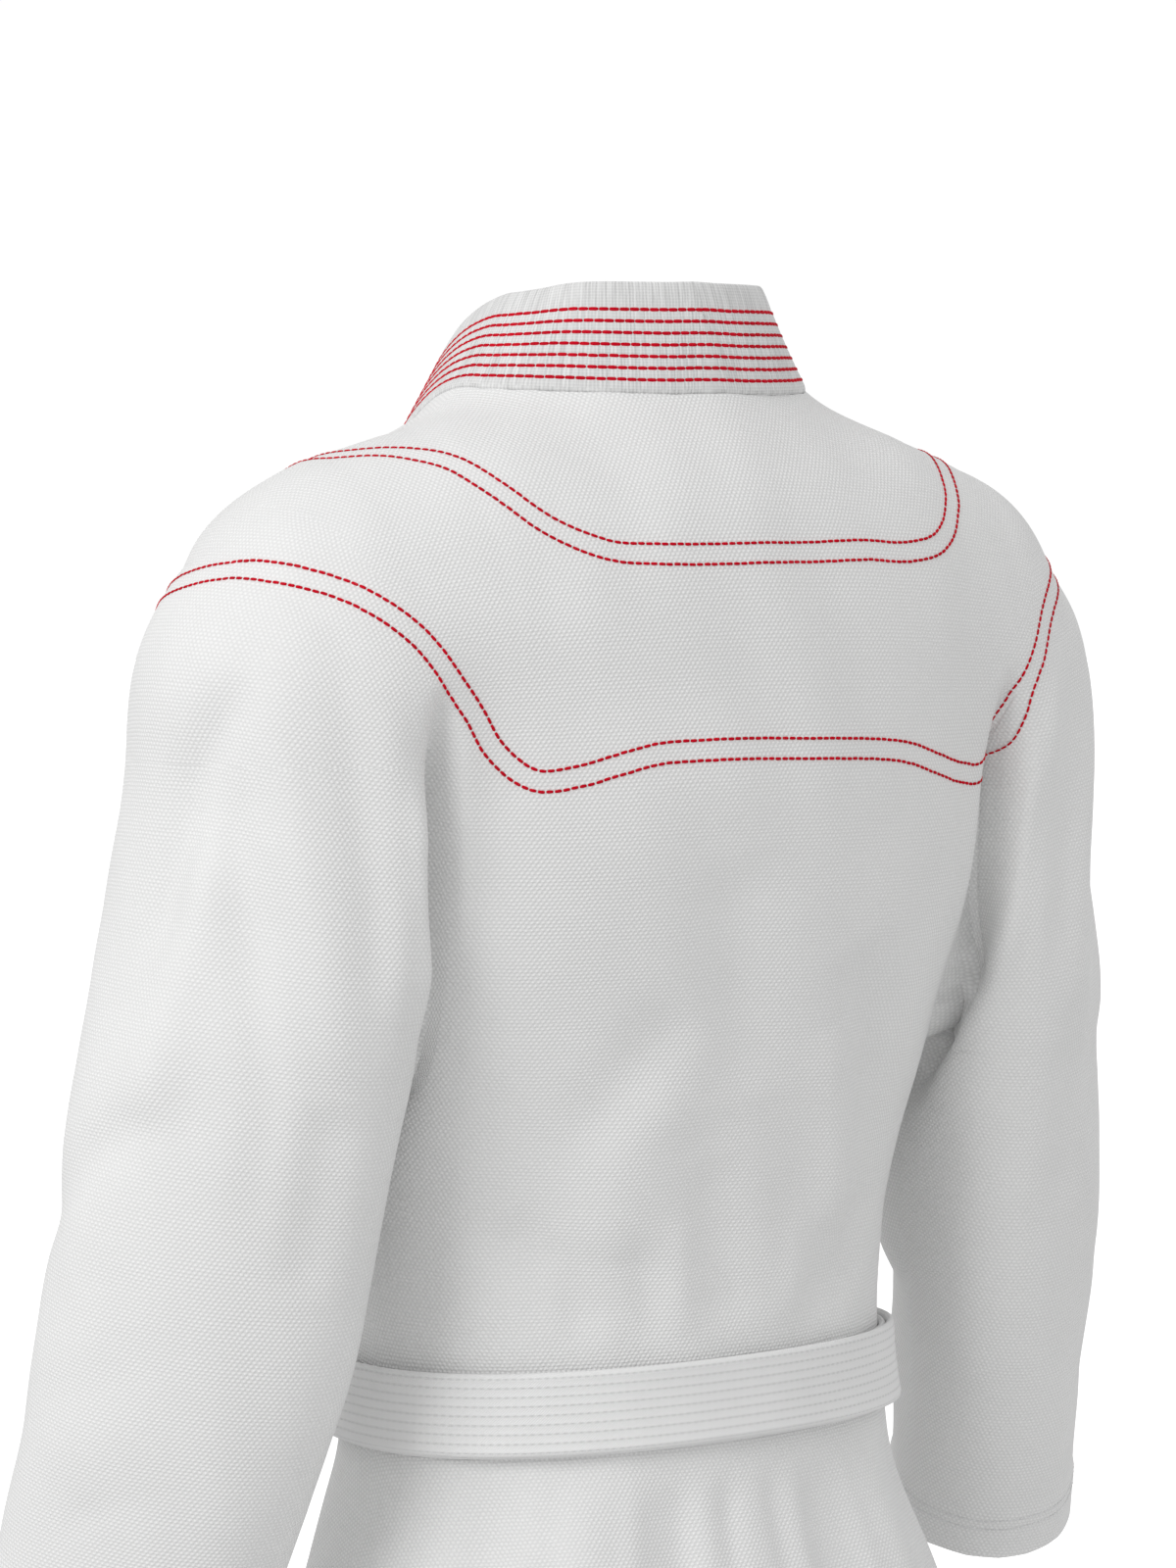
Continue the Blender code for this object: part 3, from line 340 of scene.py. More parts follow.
def back_grid(cols_neck, cols_side, rows_up, rows_mid, rows_low):
    """Points of the back by row, from shoulder to hem, left seam to right seam."""
    s = np.linspace(0, 1, cols_neck + 1)
    neck_x, neck_turn = neck_behind(s)
    out = np.linspace(0, 1, cols_side + 1)[1:]
    top_x = np.r_[neck_x, NECK_SIDE + (ARMHOLE[3, 1] - NECK_SIDE) * out]
    top_turn = np.r_[neck_turn, np.full(cols_side, 90.0)]
    half = len(top_x)
    even = np.arange(half) / (half - 1)
    rows = []
    for v in np.linspace(1, 0, rows_up + 1):
        turn = np.radians(v * top_turn)
        edge = read(ARMHOLE, np.array(v * 90.0))[0]
        x = edge * ((1 - v) * even + v * top_x / ARMHOLE[3, 1])
        start = np.stack([x, np.full(half, MIDDLE), np.full(half, SHELF)], -1)
        way = np.stack([0 * x, np.cos(turn), np.sin(turn)], -1)
        rows.append(shoot(start, way))
    mid, low = heights(rows_mid, rows_low)
    for z in mid[1:]:
        t = (z - UNDERARM[2]) / (SHELF - UNDERARM[2])
        goal = armhole_point(np.array([z]), 1)[0]
        y0 = t * MIDDLE + (1 - t) * read(TORSO, np.array(z))[1]
        x = even * t * armhole_x(z)
        last = np.arctan2(goal[0] - x[-1], goal[1] - y0)
        plain = (1 - t) * np.arctan2(UNDERARM[0], UNDERARM[1] - read(TORSO, UNDERARM[2])[1])
        turn = even * plain + even**5 * (last - plain)
        start = np.stack([x, np.full(half, y0), np.full(half, z)], -1)
        hit = shoot(start, np.stack([np.sin(turn), np.cos(turn), 0 * x], -1))
        hit[-1] = goal
        rows.append(hit)
    for z in low:
        goal = side_point(np.array([z]))[0]
        y0 = read(TORSO, np.array(z))[1]
        turn = even * np.arctan2(goal[0], goal[1] - y0)
        start = np.stack([0 * even, np.full(half, y0), np.full(half, z)], -1)
        hit = shoot(start, np.stack([np.sin(turn), np.cos(turn), 0 * even], -1), trunk_field)
        hit[-1] = goal
        rows.append(hit)
    g = np.array(rows)
    flip = g[:, :0:-1] * np.array([-1.0, 1, 1])
    return np.concatenate([flip, g], 1)


def front_grid(cols, rows_up, rows_mid, rows_low):
    """Points of the wearer's left front by row, from lapel to side."""
    even = np.linspace(0, 1, cols + 1)
    rows = []
    for v in np.linspace(1, 0, rows_up + 1):
        deg = 180 - 90 * v
        turn = np.radians(deg)
        near = read(LAPEL_TOP, np.array(deg))[0]
        far = read(ARMHOLE, np.array(deg))[0]
        x = near + (far - near) * even
        start = np.stack([x, np.full(cols + 1, MIDDLE), np.full(cols + 1, SHELF)], -1)
        rows.append(shoot(start, np.array([0, np.cos(turn), np.sin(turn)])))
    mid, low = heights(rows_mid, rows_low)
    for z in mid[1:]:
        t = (z - UNDERARM[2]) / (SHELF - UNDERARM[2])
        goal = armhole_point(np.array([z]), -1)[0]
        y0 = t * MIDDLE + (1 - t) * read(TORSO, np.array(z))[1]
        near = read(LAPEL, np.array(z))[0]
        x = near + even * t * (armhole_x(z) - near)
        last = np.arctan2(goal[0] - x[-1], y0 - goal[1])
        lap = read(LAPEL, UNDERARM[2])[0]
        plain = (1 - t) * np.arctan2(UNDERARM[0] - lap, read(TORSO, UNDERARM[2])[1] - UNDERARM[1])
        turn = even * plain + even**5 * (last - plain)
        start = np.stack([x, np.full(cols + 1, y0), np.full(cols + 1, z)], -1)
        hit = shoot(start, np.stack([np.sin(turn), -np.cos(turn), 0 * x], -1))
        hit[-1] = goal
        rows.append(hit)
    for z in low:
        goal = side_point(np.array([z]))[0]
        y0 = read(TORSO, np.array(z))[1]
        near = read(LAPEL, np.array(z))[0]
        turn = even * np.arctan2(goal[0] - near, y0 - goal[1])
        start = np.stack([near + 0 * even, np.full(cols + 1, y0), np.full(cols + 1, z)], -1)
        hit = shoot(start, np.stack([np.sin(turn), -np.cos(turn), 0 * even], -1), trunk_field)
        hit[-1] = goal
        rows.append(hit)
    return np.array(rows)


def cap_centre():
    return np.array([0.195, MIDDLE, SHELF])


def sleeve_grid(cols, rows_cap, rows_mid, rows_low):
    """The left sleeve: the cap as a fan about the shoulder point, then the tube."""
    a = cap_centre()
    half = np.linspace(0, 1, cols + 1)
    mid, _ = heights(rows_mid, 1)
    # the cap, from straight back over the top to straight front
    cap = []
    for deg in np.linspace(0, 180, rows_cap + 1):
        turn = np.radians(deg)
        up = np.array([0, np.cos(turn), np.sin(turn)])
        seam_x = read(ARMHOLE, np.array(deg))[0]
        seam = shoot(np.array([[seam_x, MIDDLE, SHELF]]), up)[0]
        lean = np.arctan2(seam[0] - a[0], (seam - a) @ up)
        lam = lean + (np.pi / 2 - lean) * half
        way = np.cos(lam)[:, None] * up + np.sin(lam)[:, None] * np.array([1.0, 0, 0])
        hit = shoot(a, way)
        hit[0] = seam
        cap.append(hit)
    cap = np.array(cap)
    tube = []
    for z in mid:
        tube.append(sleeve_row(z, half, open_row=True))
    low = np.linspace(UNDERARM[2], CUFF, rows_low + 1)[1:]
    for z in low:
        tube.append(sleeve_row(z, half, open_row=False))
    cap[:, -1] = cap[0, -1]
    tube = np.array(tube)
    tube[0, : cols + 1] = cap[0]
    tube[0, cols:] = cap[-1, ::-1]
    return cap, tube


def sleeve_row(z, half, open_row):
    cx, cy = read(ARM, np.array(z))[:2]
    a = cap_centre()
    t = np.clip((z - UNDERARM[2]) / (SHELF - UNDERARM[2]), 0, 1)
    a = np.array([a[0] * t + cx * (1 - t), a[1] * t + cy * (1 - t), z])
    if open_row and z > UNDERARM[2] + 1e-9:
        behind = armhole_point(np.array([z]), 1)[0]
        before = armhole_point(np.array([z]), -1)[0]
        start = np.arctan2(behind[0] - a[0], behind[1] - a[1])
        end = np.arctan2(before[0] - a[0], before[1] - a[1]) % (2 * np.pi)
        low = read(ARM, np.array(UNDERARM[2]))[:2]
        first = np.arctan2(UNDERARM[0] - low[0], UNDERARM[1] - low[1])
        top = armhole_point(np.array([SHELF]), 1)[0] - cap_centre()
        front = armhole_point(np.array([SHELF]), -1)[0] - cap_centre()
        plain = t * np.arctan2(top[0], top[1]) + (1 - t) * first
        close = t * (np.arctan2(front[0], front[1]) % (2 * np.pi)) + (1 - t) * (first + 2 * np.pi)
        bend, ending = (1 - half) ** 5 * (start - plain), half**5 * (end - close)
        start, end = plain, close
    else:
        bend, ending = 0 * half, 0 * half
        k = np.clip((UNDERARM[2] - z) / 0.08, 0, 1)
        first = np.arctan2(UNDERARM[0] - a[0], UNDERARM[1] - a[1])
        start = first * (1 - k) - np.pi / 2 * k
        end = start + 2 * np.pi
    outward = start + (np.pi / 2 - start) * half + bend
    inward = np.pi / 2 + (end - np.pi / 2) * half + ending
    turn = np.r_[outward, inward[1:]]
    step = 0.004
    up = read(ARM, np.array(min(z + step, -0.08)))[:2]
    down = read(ARM, np.array(max(z - step, -0.60)))[:2]
    lean = (up - down) / (2 * step)
    tilt = np.clip((-0.36 - z) / 0.16, 0, 1)
    drop = -tilt * (lean[0] * np.sin(turn) + lean[1] * np.cos(turn))
    hit = shoot(a, np.stack([np.sin(turn), np.cos(turn), drop], -1), sleeve_field)
    if open_row and z > UNDERARM[2] + 1e-9:
        hit[0], hit[-1] = behind, before
    elif open_row:
        hit[0] = hit[-1] = UNDERARM
    else:
        hit[-1] = hit[0]
    return hit


# angle over the shoulder, lean of the standing band in x, y and z
STAND = np.array([
    (60, 0.00, -0.25, 0.97),
    (70, -0.15, -0.25, 0.96),
    (80, -0.45, -0.20, 0.87),
    (90, -0.56, -0.15, 0.81),
    (102, -0.60, -0.22, 0.77),
    (120, -0.72, -0.36, 0.58),
    (150, -0.85, -0.40, 0.30),
    (180, -0.95, -0.30, 0.00),
])
BAND = 0.056
LIE = (104.0, 160.0)


def smooth(t):
    t = np.clip(t, 0, 1)
    return t * t * (3 - 2 * t)


def band_grid(edge, turn, across):
    """Points of the left half of the collar band from its sewn edge's points."""
    along = eye(np.gradient(edge, axis=0))
    lift = eye(gradient(edge, trunk_field))
    flat = eye(np.cross(along, lift))
    flat = flat * -np.sign((flat * np.array([1.0, 0, 0])).sum(-1, keepdims=True) + 1e-9)
    stand = eye(read(STAND, turn))
    lie = smooth((turn - LIE[0]) / (LIE[1] - LIE[0]))[:, None]
    way = eye(stand * (1 - lie) + flat * lie)
    w = np.linspace(0, 1, across + 1)
    points = edge[:, None] + BAND * w[None, :, None] * way[:, None]
    down, _ = settle(points, trunk_field, 4)
    k = (lie * lie)[:, None] * np.ones_like(points)
    k[:, 0] = 1
    points = points * (1 - k) + down * k
    points[:, 0] = edge
    return points


def free_edge(edge, turn):
    """x of the band's free edge by height, where it lies on the chest."""
    far = band_grid(edge, turn, 4)[:, -1]
    keep = turn >= 150
    order = np.argsort(far[keep][:, 2])
    return far[keep][order][:, [2, 0]]


def over(p, rim):
    """How far the left front is lifted over the right one: 0 or 1, with a slope."""
    x = -np.interp(p[..., 2], rim[:, 0], rim[:, 1])
    up = smooth((SHELF - 0.005 - p[..., 2]) / 0.02)
    return smooth((x + 0.055 - p[..., 0]) / 0.025) * up * (p[..., 1] < 0)


# each fold: side (0 both, 1 left, -1 right), height of the ridge and half width in metres,
# points in millimetres
FOLDS = [
    # back
    (1, -0.0050, 0.022, [(20, 121, -215), (12, 113, -270), (5, 104, -335)]),
    (1, -0.0032, 0.017, [(21, 99, -360), (12, 95, -400), (4, 92, -450)]),
    (1, -0.0036, 0.019, [(40, 106, -285), (64, 97, -317), (90, 82, -352)]),
    (1, 0.0042, 0.024, [(48, 100, -320), (64, 92, -350), (70, 84, -410)]),
    (-1, -0.0040, 0.019, [(-55, 108, -262), (-72, 100, -296), (-86, 88, -345)]),
    (-1, 0.0045, 0.016, [(-45, 104, -300), (-58, 96, -350), (-60, 88, -410)]),
    (-1, -0.0048, 0.017, [(-100, 66, -388), (-78, 79, -419), (-50, 87, -452)]),
    (1, -0.0038, 0.016, [(118, 60, -385), (95, 72, -418), (75, 80, -450)]),
    # skirt behind
    (0, -0.0070, 0.018, [(40, 100, -505), (50, 120, -620), (56, 136, -745)]),
    (0, 0.0050, 0.018, [(84, 85, -510), (98, 105, -620), (110, 118, -745)]),
    (0, -0.0060, 0.016, [(120, 55, -505), (140, 70, -600), (155, 85, -745)]),
    # fronts
    (0, -0.0050, 0.016, [(125, -70, -330), (105, -92, -380), (75, -105, -445)]),
    (0, -0.0045, 0.013, [(140, -40, -380), (125, -62, -415), (105, -80, -448)]),
    (0, 0.0050, 0.018, [(128, -95, -240), (110, -105, -320), (90, -108, -400)]),
    (0, -0.0060, 0.018, [(100, -85, -510), (118, -90, -620), (128, -98, -745)]),
    (0, 0.0050, 0.018, [(135, -55, -515), (155, -60, -620), (175, -65, -745)]),
    # the armholes' deep creases, behind and in front
    (0, -0.0150, 0.0080, [
        (168, 89, -150), (166, 85, -200),
        (164, 77, -245), (165, 62, -290),
        (166, 38, -322), (166, 12, -350),
    ]),
    (0, -0.0110, 0.0110, [
        (168, -86, -160), (164, -84, -215),
        (162, -76, -260), (164, -56, -300),
        (165, -26, -328),
    ]),
    # sleeves: behind the shoulder, elbow, underarm
    (0, -0.0050, 0.013, [
        (250, 52, -130), (262, 22, -178),
        (267, 14, -220), (276, 6, -262),
    ]),
    (0, 0.0050, 0.016, [(262, 40, -205), (276, 28, -270), (288, 18, -335)]),
    (0, -0.0035, 0.014, [
        (282, 28, -330), (296, -8, -348),
        (298, -44, -380), (280, -80, -400),
    ]),
    (0, 0.0130, 0.028, [(190, -15, -345), (189, -20, -400), (196, -30, -460)]),
    (0, -0.0035, 0.016, [(221, 77, -320), (224, 70, -365), (228, 60, -415)]),
    (0, 0.0035, 0.011, [(196, 88, -140), (188, 86, -224), (190, 84, -290)]),
    (0, -0.0060, 0.013, [(215, -75, -350), (250, -82, -372), (285, -60, -392)]),
    (0, -0.0050, 0.012, [(205, -70, -395), (245, -85, -412), (285, -66, -430)]),
    (0, -0.0030, 0.014, [(272, 18, -440), (296, -30, -462), (290, -70, -500)]),
]


def fold_height(p, folds):
    """How far the folds move the cloth outward at each point."""
    total = np.zeros(p.shape[:-1])
    for side, high, wide, path in folds:
        for mirror in ((1.0, -1.0) if side == 0 else (1.0,)):
            q = np.array(path) / 1000 * np.array([mirror, 1.0, 1.0])
            seg = np.linalg.norm(np.diff(q, axis=0), axis=1)
            run = np.r_[0, np.cumsum(seg)]
            best = np.full(p.shape[:-1], 9.0)
            place = np.zeros(p.shape[:-1])
            for k in range(len(q) - 1):
                d = q[k + 1] - q[k]
                t = np.clip((p - q[k]) @ d / (d @ d), 0, 1)
                gap = np.linalg.norm(p - q[k] - t[..., None] * d, axis=-1)
                near = gap < best
                best = np.where(near, gap, best)
                place = np.where(near, run[k] + t * seg[k], place)
            along = place / run[-1]
            ends = smooth(0.35 + 3.0 * along) * smooth(0.35 + 3.0 * (1 - along))
            total += high * ends * np.exp(-((best / wide) ** 2))
    # the belt presses the body flat, but not the sleeves beside it
    from_belt = np.abs(p[..., 2] - BELT_HEIGHT + BELT_DROP / 2 * (p[..., 1] < 0))
    belt_zone = smooth((from_belt - BELT_HALF) / BELT_EASE)
    belt_zone = np.where(np.abs(p[..., 0]) > SLEEVE_FROM, 1.0, belt_zone)
    return total * belt_zone


# finer creases laid over the large folds, in the same columns
CREASES = [
    # pleats that the belt draws in, above and below it
    (0, 0.0015, 0.009, [(30, 88, -452), (34, 92, -420), (36, 97, -390)]),
    (0, -0.0016, 0.009, [(47, 84, -452), (52, 88, -425), (60, 92, -400)]),
    (0, 0.0015, 0.008, [(90, 68, -452), (94, 70, -430), (98, 74, -405)]),
    (0, -0.0022, 0.007, [(12, 98, -506), (14, 104, -545), (16, 112, -590)]),
    (0, 0.0022, 0.008, [(28, 98, -506), (30, 106, -550), (34, 116, -620)]),
    (0, 0.0020, 0.007, [(62, 92, -506), (68, 100, -545), (76, 110, -600)]),
    (0, -0.0020, 0.007, [(98, 78, -506), (106, 84, -540), (116, 92, -590)]),
    (0, 0.0024, 0.008, [(60, -108, -462), (74, -108, -420), (90, -104, -370)]),
    (0, -0.0022, 0.007, [(40, -110, -462), (50, -113, -425), (62, -114, -385)]),
    (0, 0.0022, 0.007, [(92, -92, -462), (104, -90, -425), (120, -82, -380)]),
    (0, -0.0022, 0.008, [(60, -104, -512), (70, -110, -560), (80, -114, -620)]),
    (0, 0.0022, 0.008, [(82, -98, -512), (92, -104, -560), (100, -108, -630)]),
    # the right sleeve's fullness toward the waist
    (-1, 0.0105, 0.024, [
        (-190, -36, -385), (-199, -52, -425), (-206, -62, -465), (-213, -68, -520),
    ]),
    # armholes, where the cloth laps over itself
    (0, -0.0075, 0.0052, [
        (168, 90, -140), (167, 88, -180), (165, 83, -220), (164, 76, -250),
        (165, 62, -290), (166, 38, -322), (166, 12, -350),
    ]),
    (0, -0.0050, 0.0055, [
        (168, -86, -150), (164, -84, -215), (162, -76, -260),
        (164, -56, -300), (165, -26, -328),
    ]),
    (0, 0.0062, 0.0080, [(182, 89, -175), (177, 86, -215), (175, 79, -262), (179, 60, -305)]),
    # the left sleeve's long slanting folds behind the shoulder
    (0, -0.0042, 0.011, [(216, 72, -120), (210, 77, -175), (203, 79, -235), (199, 76, -290)]),
    (0, 0.0040, 0.012, [(240, 56, -130), (231, 65, -190), (221, 71, -255), (215, 70, -320)]),
    (0, -0.0040, 0.012, [(258, 42, -180), (250, 54, -245), (241, 58, -320), (244, 50, -380)]),
    # underarm
    (0, -0.0018, 0.007, [(150, 60, -300), (140, 72, -330), (126, 80, -365)]),
    (0, -0.0018, 0.007, [(160, -60, -290), (146, -78, -320), (130, -90, -350)]),
    # elbow and forearm
    (0, -0.0020, 0.007, [(226, -80, -440), (256, -94, -452), (286, -78, -470)]),
    (0, -0.0018, 0.008, [(262, 20, -500), (296, -12, -515), (300, -56, -545)]),
    (0, 0.0018, 0.008, [(232, 10, -530), (262, 12, -548), (294, -22, -566)]),
]
rng = np.random.default_rng(11)
# direction and phase of the slow waves in the heavy cloth, seeded
WAVES = [
    (eye(rng.normal(size=3)) * 2 * np.pi / length, rng.uniform(0, 6.3), high)
    for length, high in (
        (0.15, 0.0006), (0.11, 0.0005), (0.085, 0.0004),
        (0.065, 0.0003), (0.048, 0.00022), (0.037, 0.00016),
    )
]


def swell(p):
    """The slow unevenness of heavy cloth, under a millimetre."""
    total = np.zeros(p.shape[:-1])
    for way, phase, high in WAVES:
        total += high * np.sin(p @ way + phase + 0.9 * np.sin(p[..., [1, 2, 0]] @ way * 0.7))
    return total


def form(p, n):
    """The folds, creases and unevenness put into points on the plain cloth."""
    return p + n * (fold_height(p, FOLDS + CREASES) + swell(p))[..., None]


def finer(grid, rows, cols):
    """The grid with its cells cut finer both ways."""
    def along(g, k):
        n = g.shape[0]
        at = np.arange((n - 1) * k + 1) / k
        i = np.minimum(at.astype(int), n - 2)
        t = (at - i)[:, None, None]
        return g[i] * (1 - t) + g[i + 1] * t

    return along(along(grid, rows).swapaxes(0, 1), cols).swapaxes(0, 1)


def lattice(grids):
    """All the grids' corners in one list, and their four-cornered cells."""
    corners, cells, base = [], [], 0
    for g in grids:
        r, c = g.shape[:2]
        at = np.arange(r * c).reshape(r, c) + base
        cells.append(np.stack([at[:-1, :-1], at[:-1, 1:], at[1:, 1:], at[1:, :-1]], -1).reshape(-1, 4))
        corners.append(g.reshape(r * c, -1))
        base += r * c
    return np.concatenate(corners), np.concatenate(cells)


def same(corners):
    """The corners that coincide made one: kept corners and each corner's place among them."""
    _, first, back = np.unique(np.round(corners, 6), axis=0, return_index=True, return_inverse=True)
    return first, back.reshape(-1)


def polygons(merged, cells):
    """Cells as polygons with doubled corners dropped, with the corners they came from."""
    faces, source = [], []
    for m, c in zip(merged[cells].tolist(), cells.tolist()):
        keep = [k for k in range(4) if m[k] != m[k - 1]]
        if len(keep) > 2:
            faces.append([m[k] for k in keep])
            source.append([c[k] for k in keep])
    return faces, source


def flatten(grids, f, open_at):
    """The folded panel laid flat: each corner's place on the cloth in metres, per grid.

    open_at marks, per grid, the corners on the far side of a seam.
    """
    grids = [finer(g, FLAT, FLAT) for g in grids]
    open_at = [np.round(finer(m[..., None], FLAT, FLAT) + 0.25 * (m.max() > 0)) for m in open_at]
    corners, cells = lattice(grids)
    marks, _ = lattice([m.astype(float) for m in open_at])
    first, back = same(np.concatenate([corners, marks], 1))
    faces, _ = polygons(back, cells)
    points = form(*settle(corners[first], f, 3))
    mesh = bpy.data.meshes.new("flat")
    mesh.from_pydata(points.tolist(), [], faces)
    thing = put("flat", mesh)
    for other in bpy.context.selected_objects:
        other.select_set(False)
    thing.select_set(True)
    bpy.context.view_layer.objects.active = thing
    bpy.ops.object.mode_set(mode="EDIT")
    bpy.ops.mesh.select_all(action="SELECT")
    bpy.ops.uv.unwrap(method="MINIMUM_STRETCH", fill_holes=False, iterations=12, margin=0.0)
    bpy.ops.object.mode_set(mode="OBJECT")
    layer = mesh.uv_layers.active.data
    uv = np.zeros(len(layer) * 2)
    layer.foreach_get("uv", uv)
    who = np.zeros(len(mesh.loops), int)
    mesh.loops.foreach_get("vertex_index", who)
    place = np.zeros((len(points), 2))
    place[who] = uv.reshape(-1, 2)
    bpy.data.objects.remove(thing, do_unlink=True)
    bpy.data.meshes.remove(mesh)
    tri = np.array([x[:3] for x in faces] + [[x[0], x[2], x[3]] for x in faces if len(x) > 3])
    one, two = points[tri[:, 1]] - points[tri[:, 0]], points[tri[:, 2]] - points[tri[:, 0]]
    real = np.linalg.norm(np.cross(one, two), axis=1).sum()
    d, e = place[tri[:, 1]] - place[tri[:, 0]], place[tri[:, 2]] - place[tri[:, 0]]
    place *= math.sqrt(real / np.abs(d[:, 0] * e[:, 1] - d[:, 1] * e[:, 0]).sum())
    # turned so that height on the garment is height on the cloth
    up = points[:, 2] - points[:, 2].mean()
    lean = (place - place.mean(0)).T @ up
    turn = math.atan2(lean[0], lean[1])
    c, s = math.cos(turn), math.sin(turn)
    place = place @ np.array([[c, s], [-s, c]])
    out, base = [], 0
    for g in grids:
        count = g.shape[0] * g.shape[1]
        out.append(place[back[base : base + count]].reshape(g.shape[0], g.shape[1], 2))
        base += count
    return out


def put(name, data):
    """A new object in the scene."""
    thing = bpy.data.objects.new(name, data)
    bpy.context.scene.collection.objects.link(thing)
    return thing


def add_mesh(name, points, faces, uv=None, sharp=50):
    mesh = bpy.data.meshes.new(name)
    mesh.from_pydata(np.asarray(points).tolist(), [], faces)
    if uv is not None:
        layer = mesh.uv_layers.new(name="UVMap")
        layer.data.foreach_set("uv", np.asarray(uv, float).reshape(-1))
    mesh.update()
    mesh.shade_smooth()
    mesh.set_sharp_from_angle(angle=math.radians(sharp))
    return put(name, mesh)


def border(faces):
    """The panel's border as directed edges, each with the corners of its face."""
    once = {}
    for k, f in enumerate(faces):
        for i in range(len(f)):
            a, b = f[i], f[(i + 1) % len(f)]
            if (b, a) in once:
                del once[(b, a)]
            else:
                once[(a, b)] = (k, i)
    return once


def cloth(name, grids, uv_grids, f, lift, hem_from=None, hem=0.0008):
    """One panel as a closed wall of cloth: lift raises its outer face, by place."""
    corners, cells = lattice([finer(g, FINE, FINE) for g in grids])
    flat, _ = lattice([finer(g, FINE // FLAT, FINE // FLAT) for g in uv_grids])
    first, back = same(corners)
    faces, source = polygons(back, cells)
    plain, normals = settle(corners[first], f, 3)
    points = form(plain, normals)
    a, b, c = np.array([x[:3] for x in faces]).T
    facing = np.cross(points[b] - points[a], points[c] - points[a])
    if (facing * normals[a]).sum() < 0:
        faces = [x[::-1] for x in faces]
        source = [x[::-1] for x in source]
    up = np.zeros(len(points)) + lift(plain)
    if hem_from is not None:
        # the cloth is turned up double along its lower edge
        reach = hem_from(plain)
        up = up + hem * smooth((0.026 - reach) / 0.002)
    outer = points + normals * up[:, None]
    inner = points + normals * (lift(plain) - CLOTH)[:, None]
    n = len(points)
    uv = [flat[c] for s in source for c in s]
    whole = list(faces)
    for x, s in zip(faces, source):
        whole.append([v + n for v in x[::-1]])
        uv.extend(flat[c] for c in s[::-1])
    for (a, b), (k, i) in border(faces).items():
        s = source[k]
        ua, ub = flat[s[i]], flat[s[(i + 1) % len(s)]]
        whole.append([b, a, a + n, b + n])
        uv.extend([ub, ua, ua, ub])
    return add_mesh(name, np.concatenate([outer, inner]), whole, uv)


def strap(name, grid, normal, mid, profile, closed=False):
    """A band with a shaped cross-section, swept along the grid's rows.

    profile holds (place across from 0 to 1, height over the middle surface) going round.
    """
    rows, cols = grid.shape[:2]
    w = np.array([q[0] for q in profile])
    h = np.array([q[1] for q in profile])
    at = np.clip(w, 0, 1) * (cols - 1)
    i = np.minimum(at.astype(int), cols - 2)
    t = (at - i)[None, :, None]
    base = grid[:, i] * (1 - t) + grid[:, i + 1] * t
    nor = eye(normal[:, i] * (1 - t) + normal[:, i + 1] * t)
    m = mid[:, i] * (1 - t[..., 0]) + mid[:, i + 1] * t[..., 0]
    ring = base + nor * (m + h[None])[..., None]
    count = len(profile)
    centre = grid[:, cols // 2]
    along = np.r_[0, np.cumsum(np.linalg.norm(np.diff(centre, axis=0), axis=1))]
    width = np.linalg.norm(grid[:, -1] - grid[:, 0], axis=1).mean()
    step = np.hypot(np.diff(np.r_[w, w[:1]]) * width, np.diff(np.r_[h, h[:1]]))
    across = np.r_[0, np.cumsum(step)]
    r = np.arange(rows - 1)
    k = np.arange(count)
    rr, kk = np.meshgrid(r, k, indexing="ij")
    k2 = (kk + 1) % count
    r2 = rr + 1
    if closed:
        r2 = (rr + 1) % (rows - 1)
    here, there = rr * count, r2 * count
    faces = np.stack([here + kk, here + k2, there + k2, there + kk], -1).reshape(-1, 4)
    uv = np.stack([
        np.stack([along[rr], across[kk]], -1),
        np.stack([along[rr], across[kk + 1]], -1),
        np.stack([along[rr + 1], across[kk + 1]], -1),
        np.stack([along[rr + 1], across[kk]], -1),
    ], 2).reshape(-1, 4, 2)
    if closed:
        ring = ring[:-1]
    points = ring.reshape(-1, 3)
    p = [points[faces[:, k]] for k in range(4)]
    mass = (p[0] * np.cross(p[1], p[2])).sum() + (p[0] * np.cross(p[2], p[3])).sum()
    if mass < 0:
        faces, uv = faces[:, ::-1], uv[:, ::-1]
    whole = faces.tolist()
    uv = uv.reshape(-1, 2).tolist()
    if not closed:
        head = list(range(count))
        tail_ = list(range((rows - 1) * count, rows * count))
        if mass < 0:
            tail_ = tail_[::-1]
        else:
            head = head[::-1]
        for cap_, at_ in ((head, 0.0), (tail_, float(along[-1]))):
            whole.append(cap_)
            uv.extend([at_, float(across[c % count])] for c in cap_)
    return add_mesh(name, points, whole, uv, sharp=70)


def band_profile(width, thick, rows, puff, steps=4):
    """A band's cross-section: quilted between its stitch rows, with rounded edges."""
    r = thick / 2
    out = []
    e = r / width
    places = sorted([e, *rows, 1 - e])
    for a, b in zip(places[:-1], places[1:]):
        out.append((a, r))
        gap = (b - a) * width
        if gap > 0.002:
            out.append((a + (b - a) * 0.25, r + puff * 0.8))
            out.append((a + (b - a) * 0.5, r + puff))
            out.append((a + (b - a) * 0.75, r + puff * 0.8))
    out.append((1 - e, r))
    for k in range(1, steps):
        t = np.pi / 2 - np.pi * k / steps
        out.append((1 - e + e * np.cos(t), r * np.sin(t)))
    for q in np.linspace(1 - e, e, 8):
        out.append((q, -r))
    for k in range(1, steps):
        t = -np.pi / 2 - np.pi * k / steps
        out.append((e + e * np.cos(t), r * np.sin(t)))
    return out


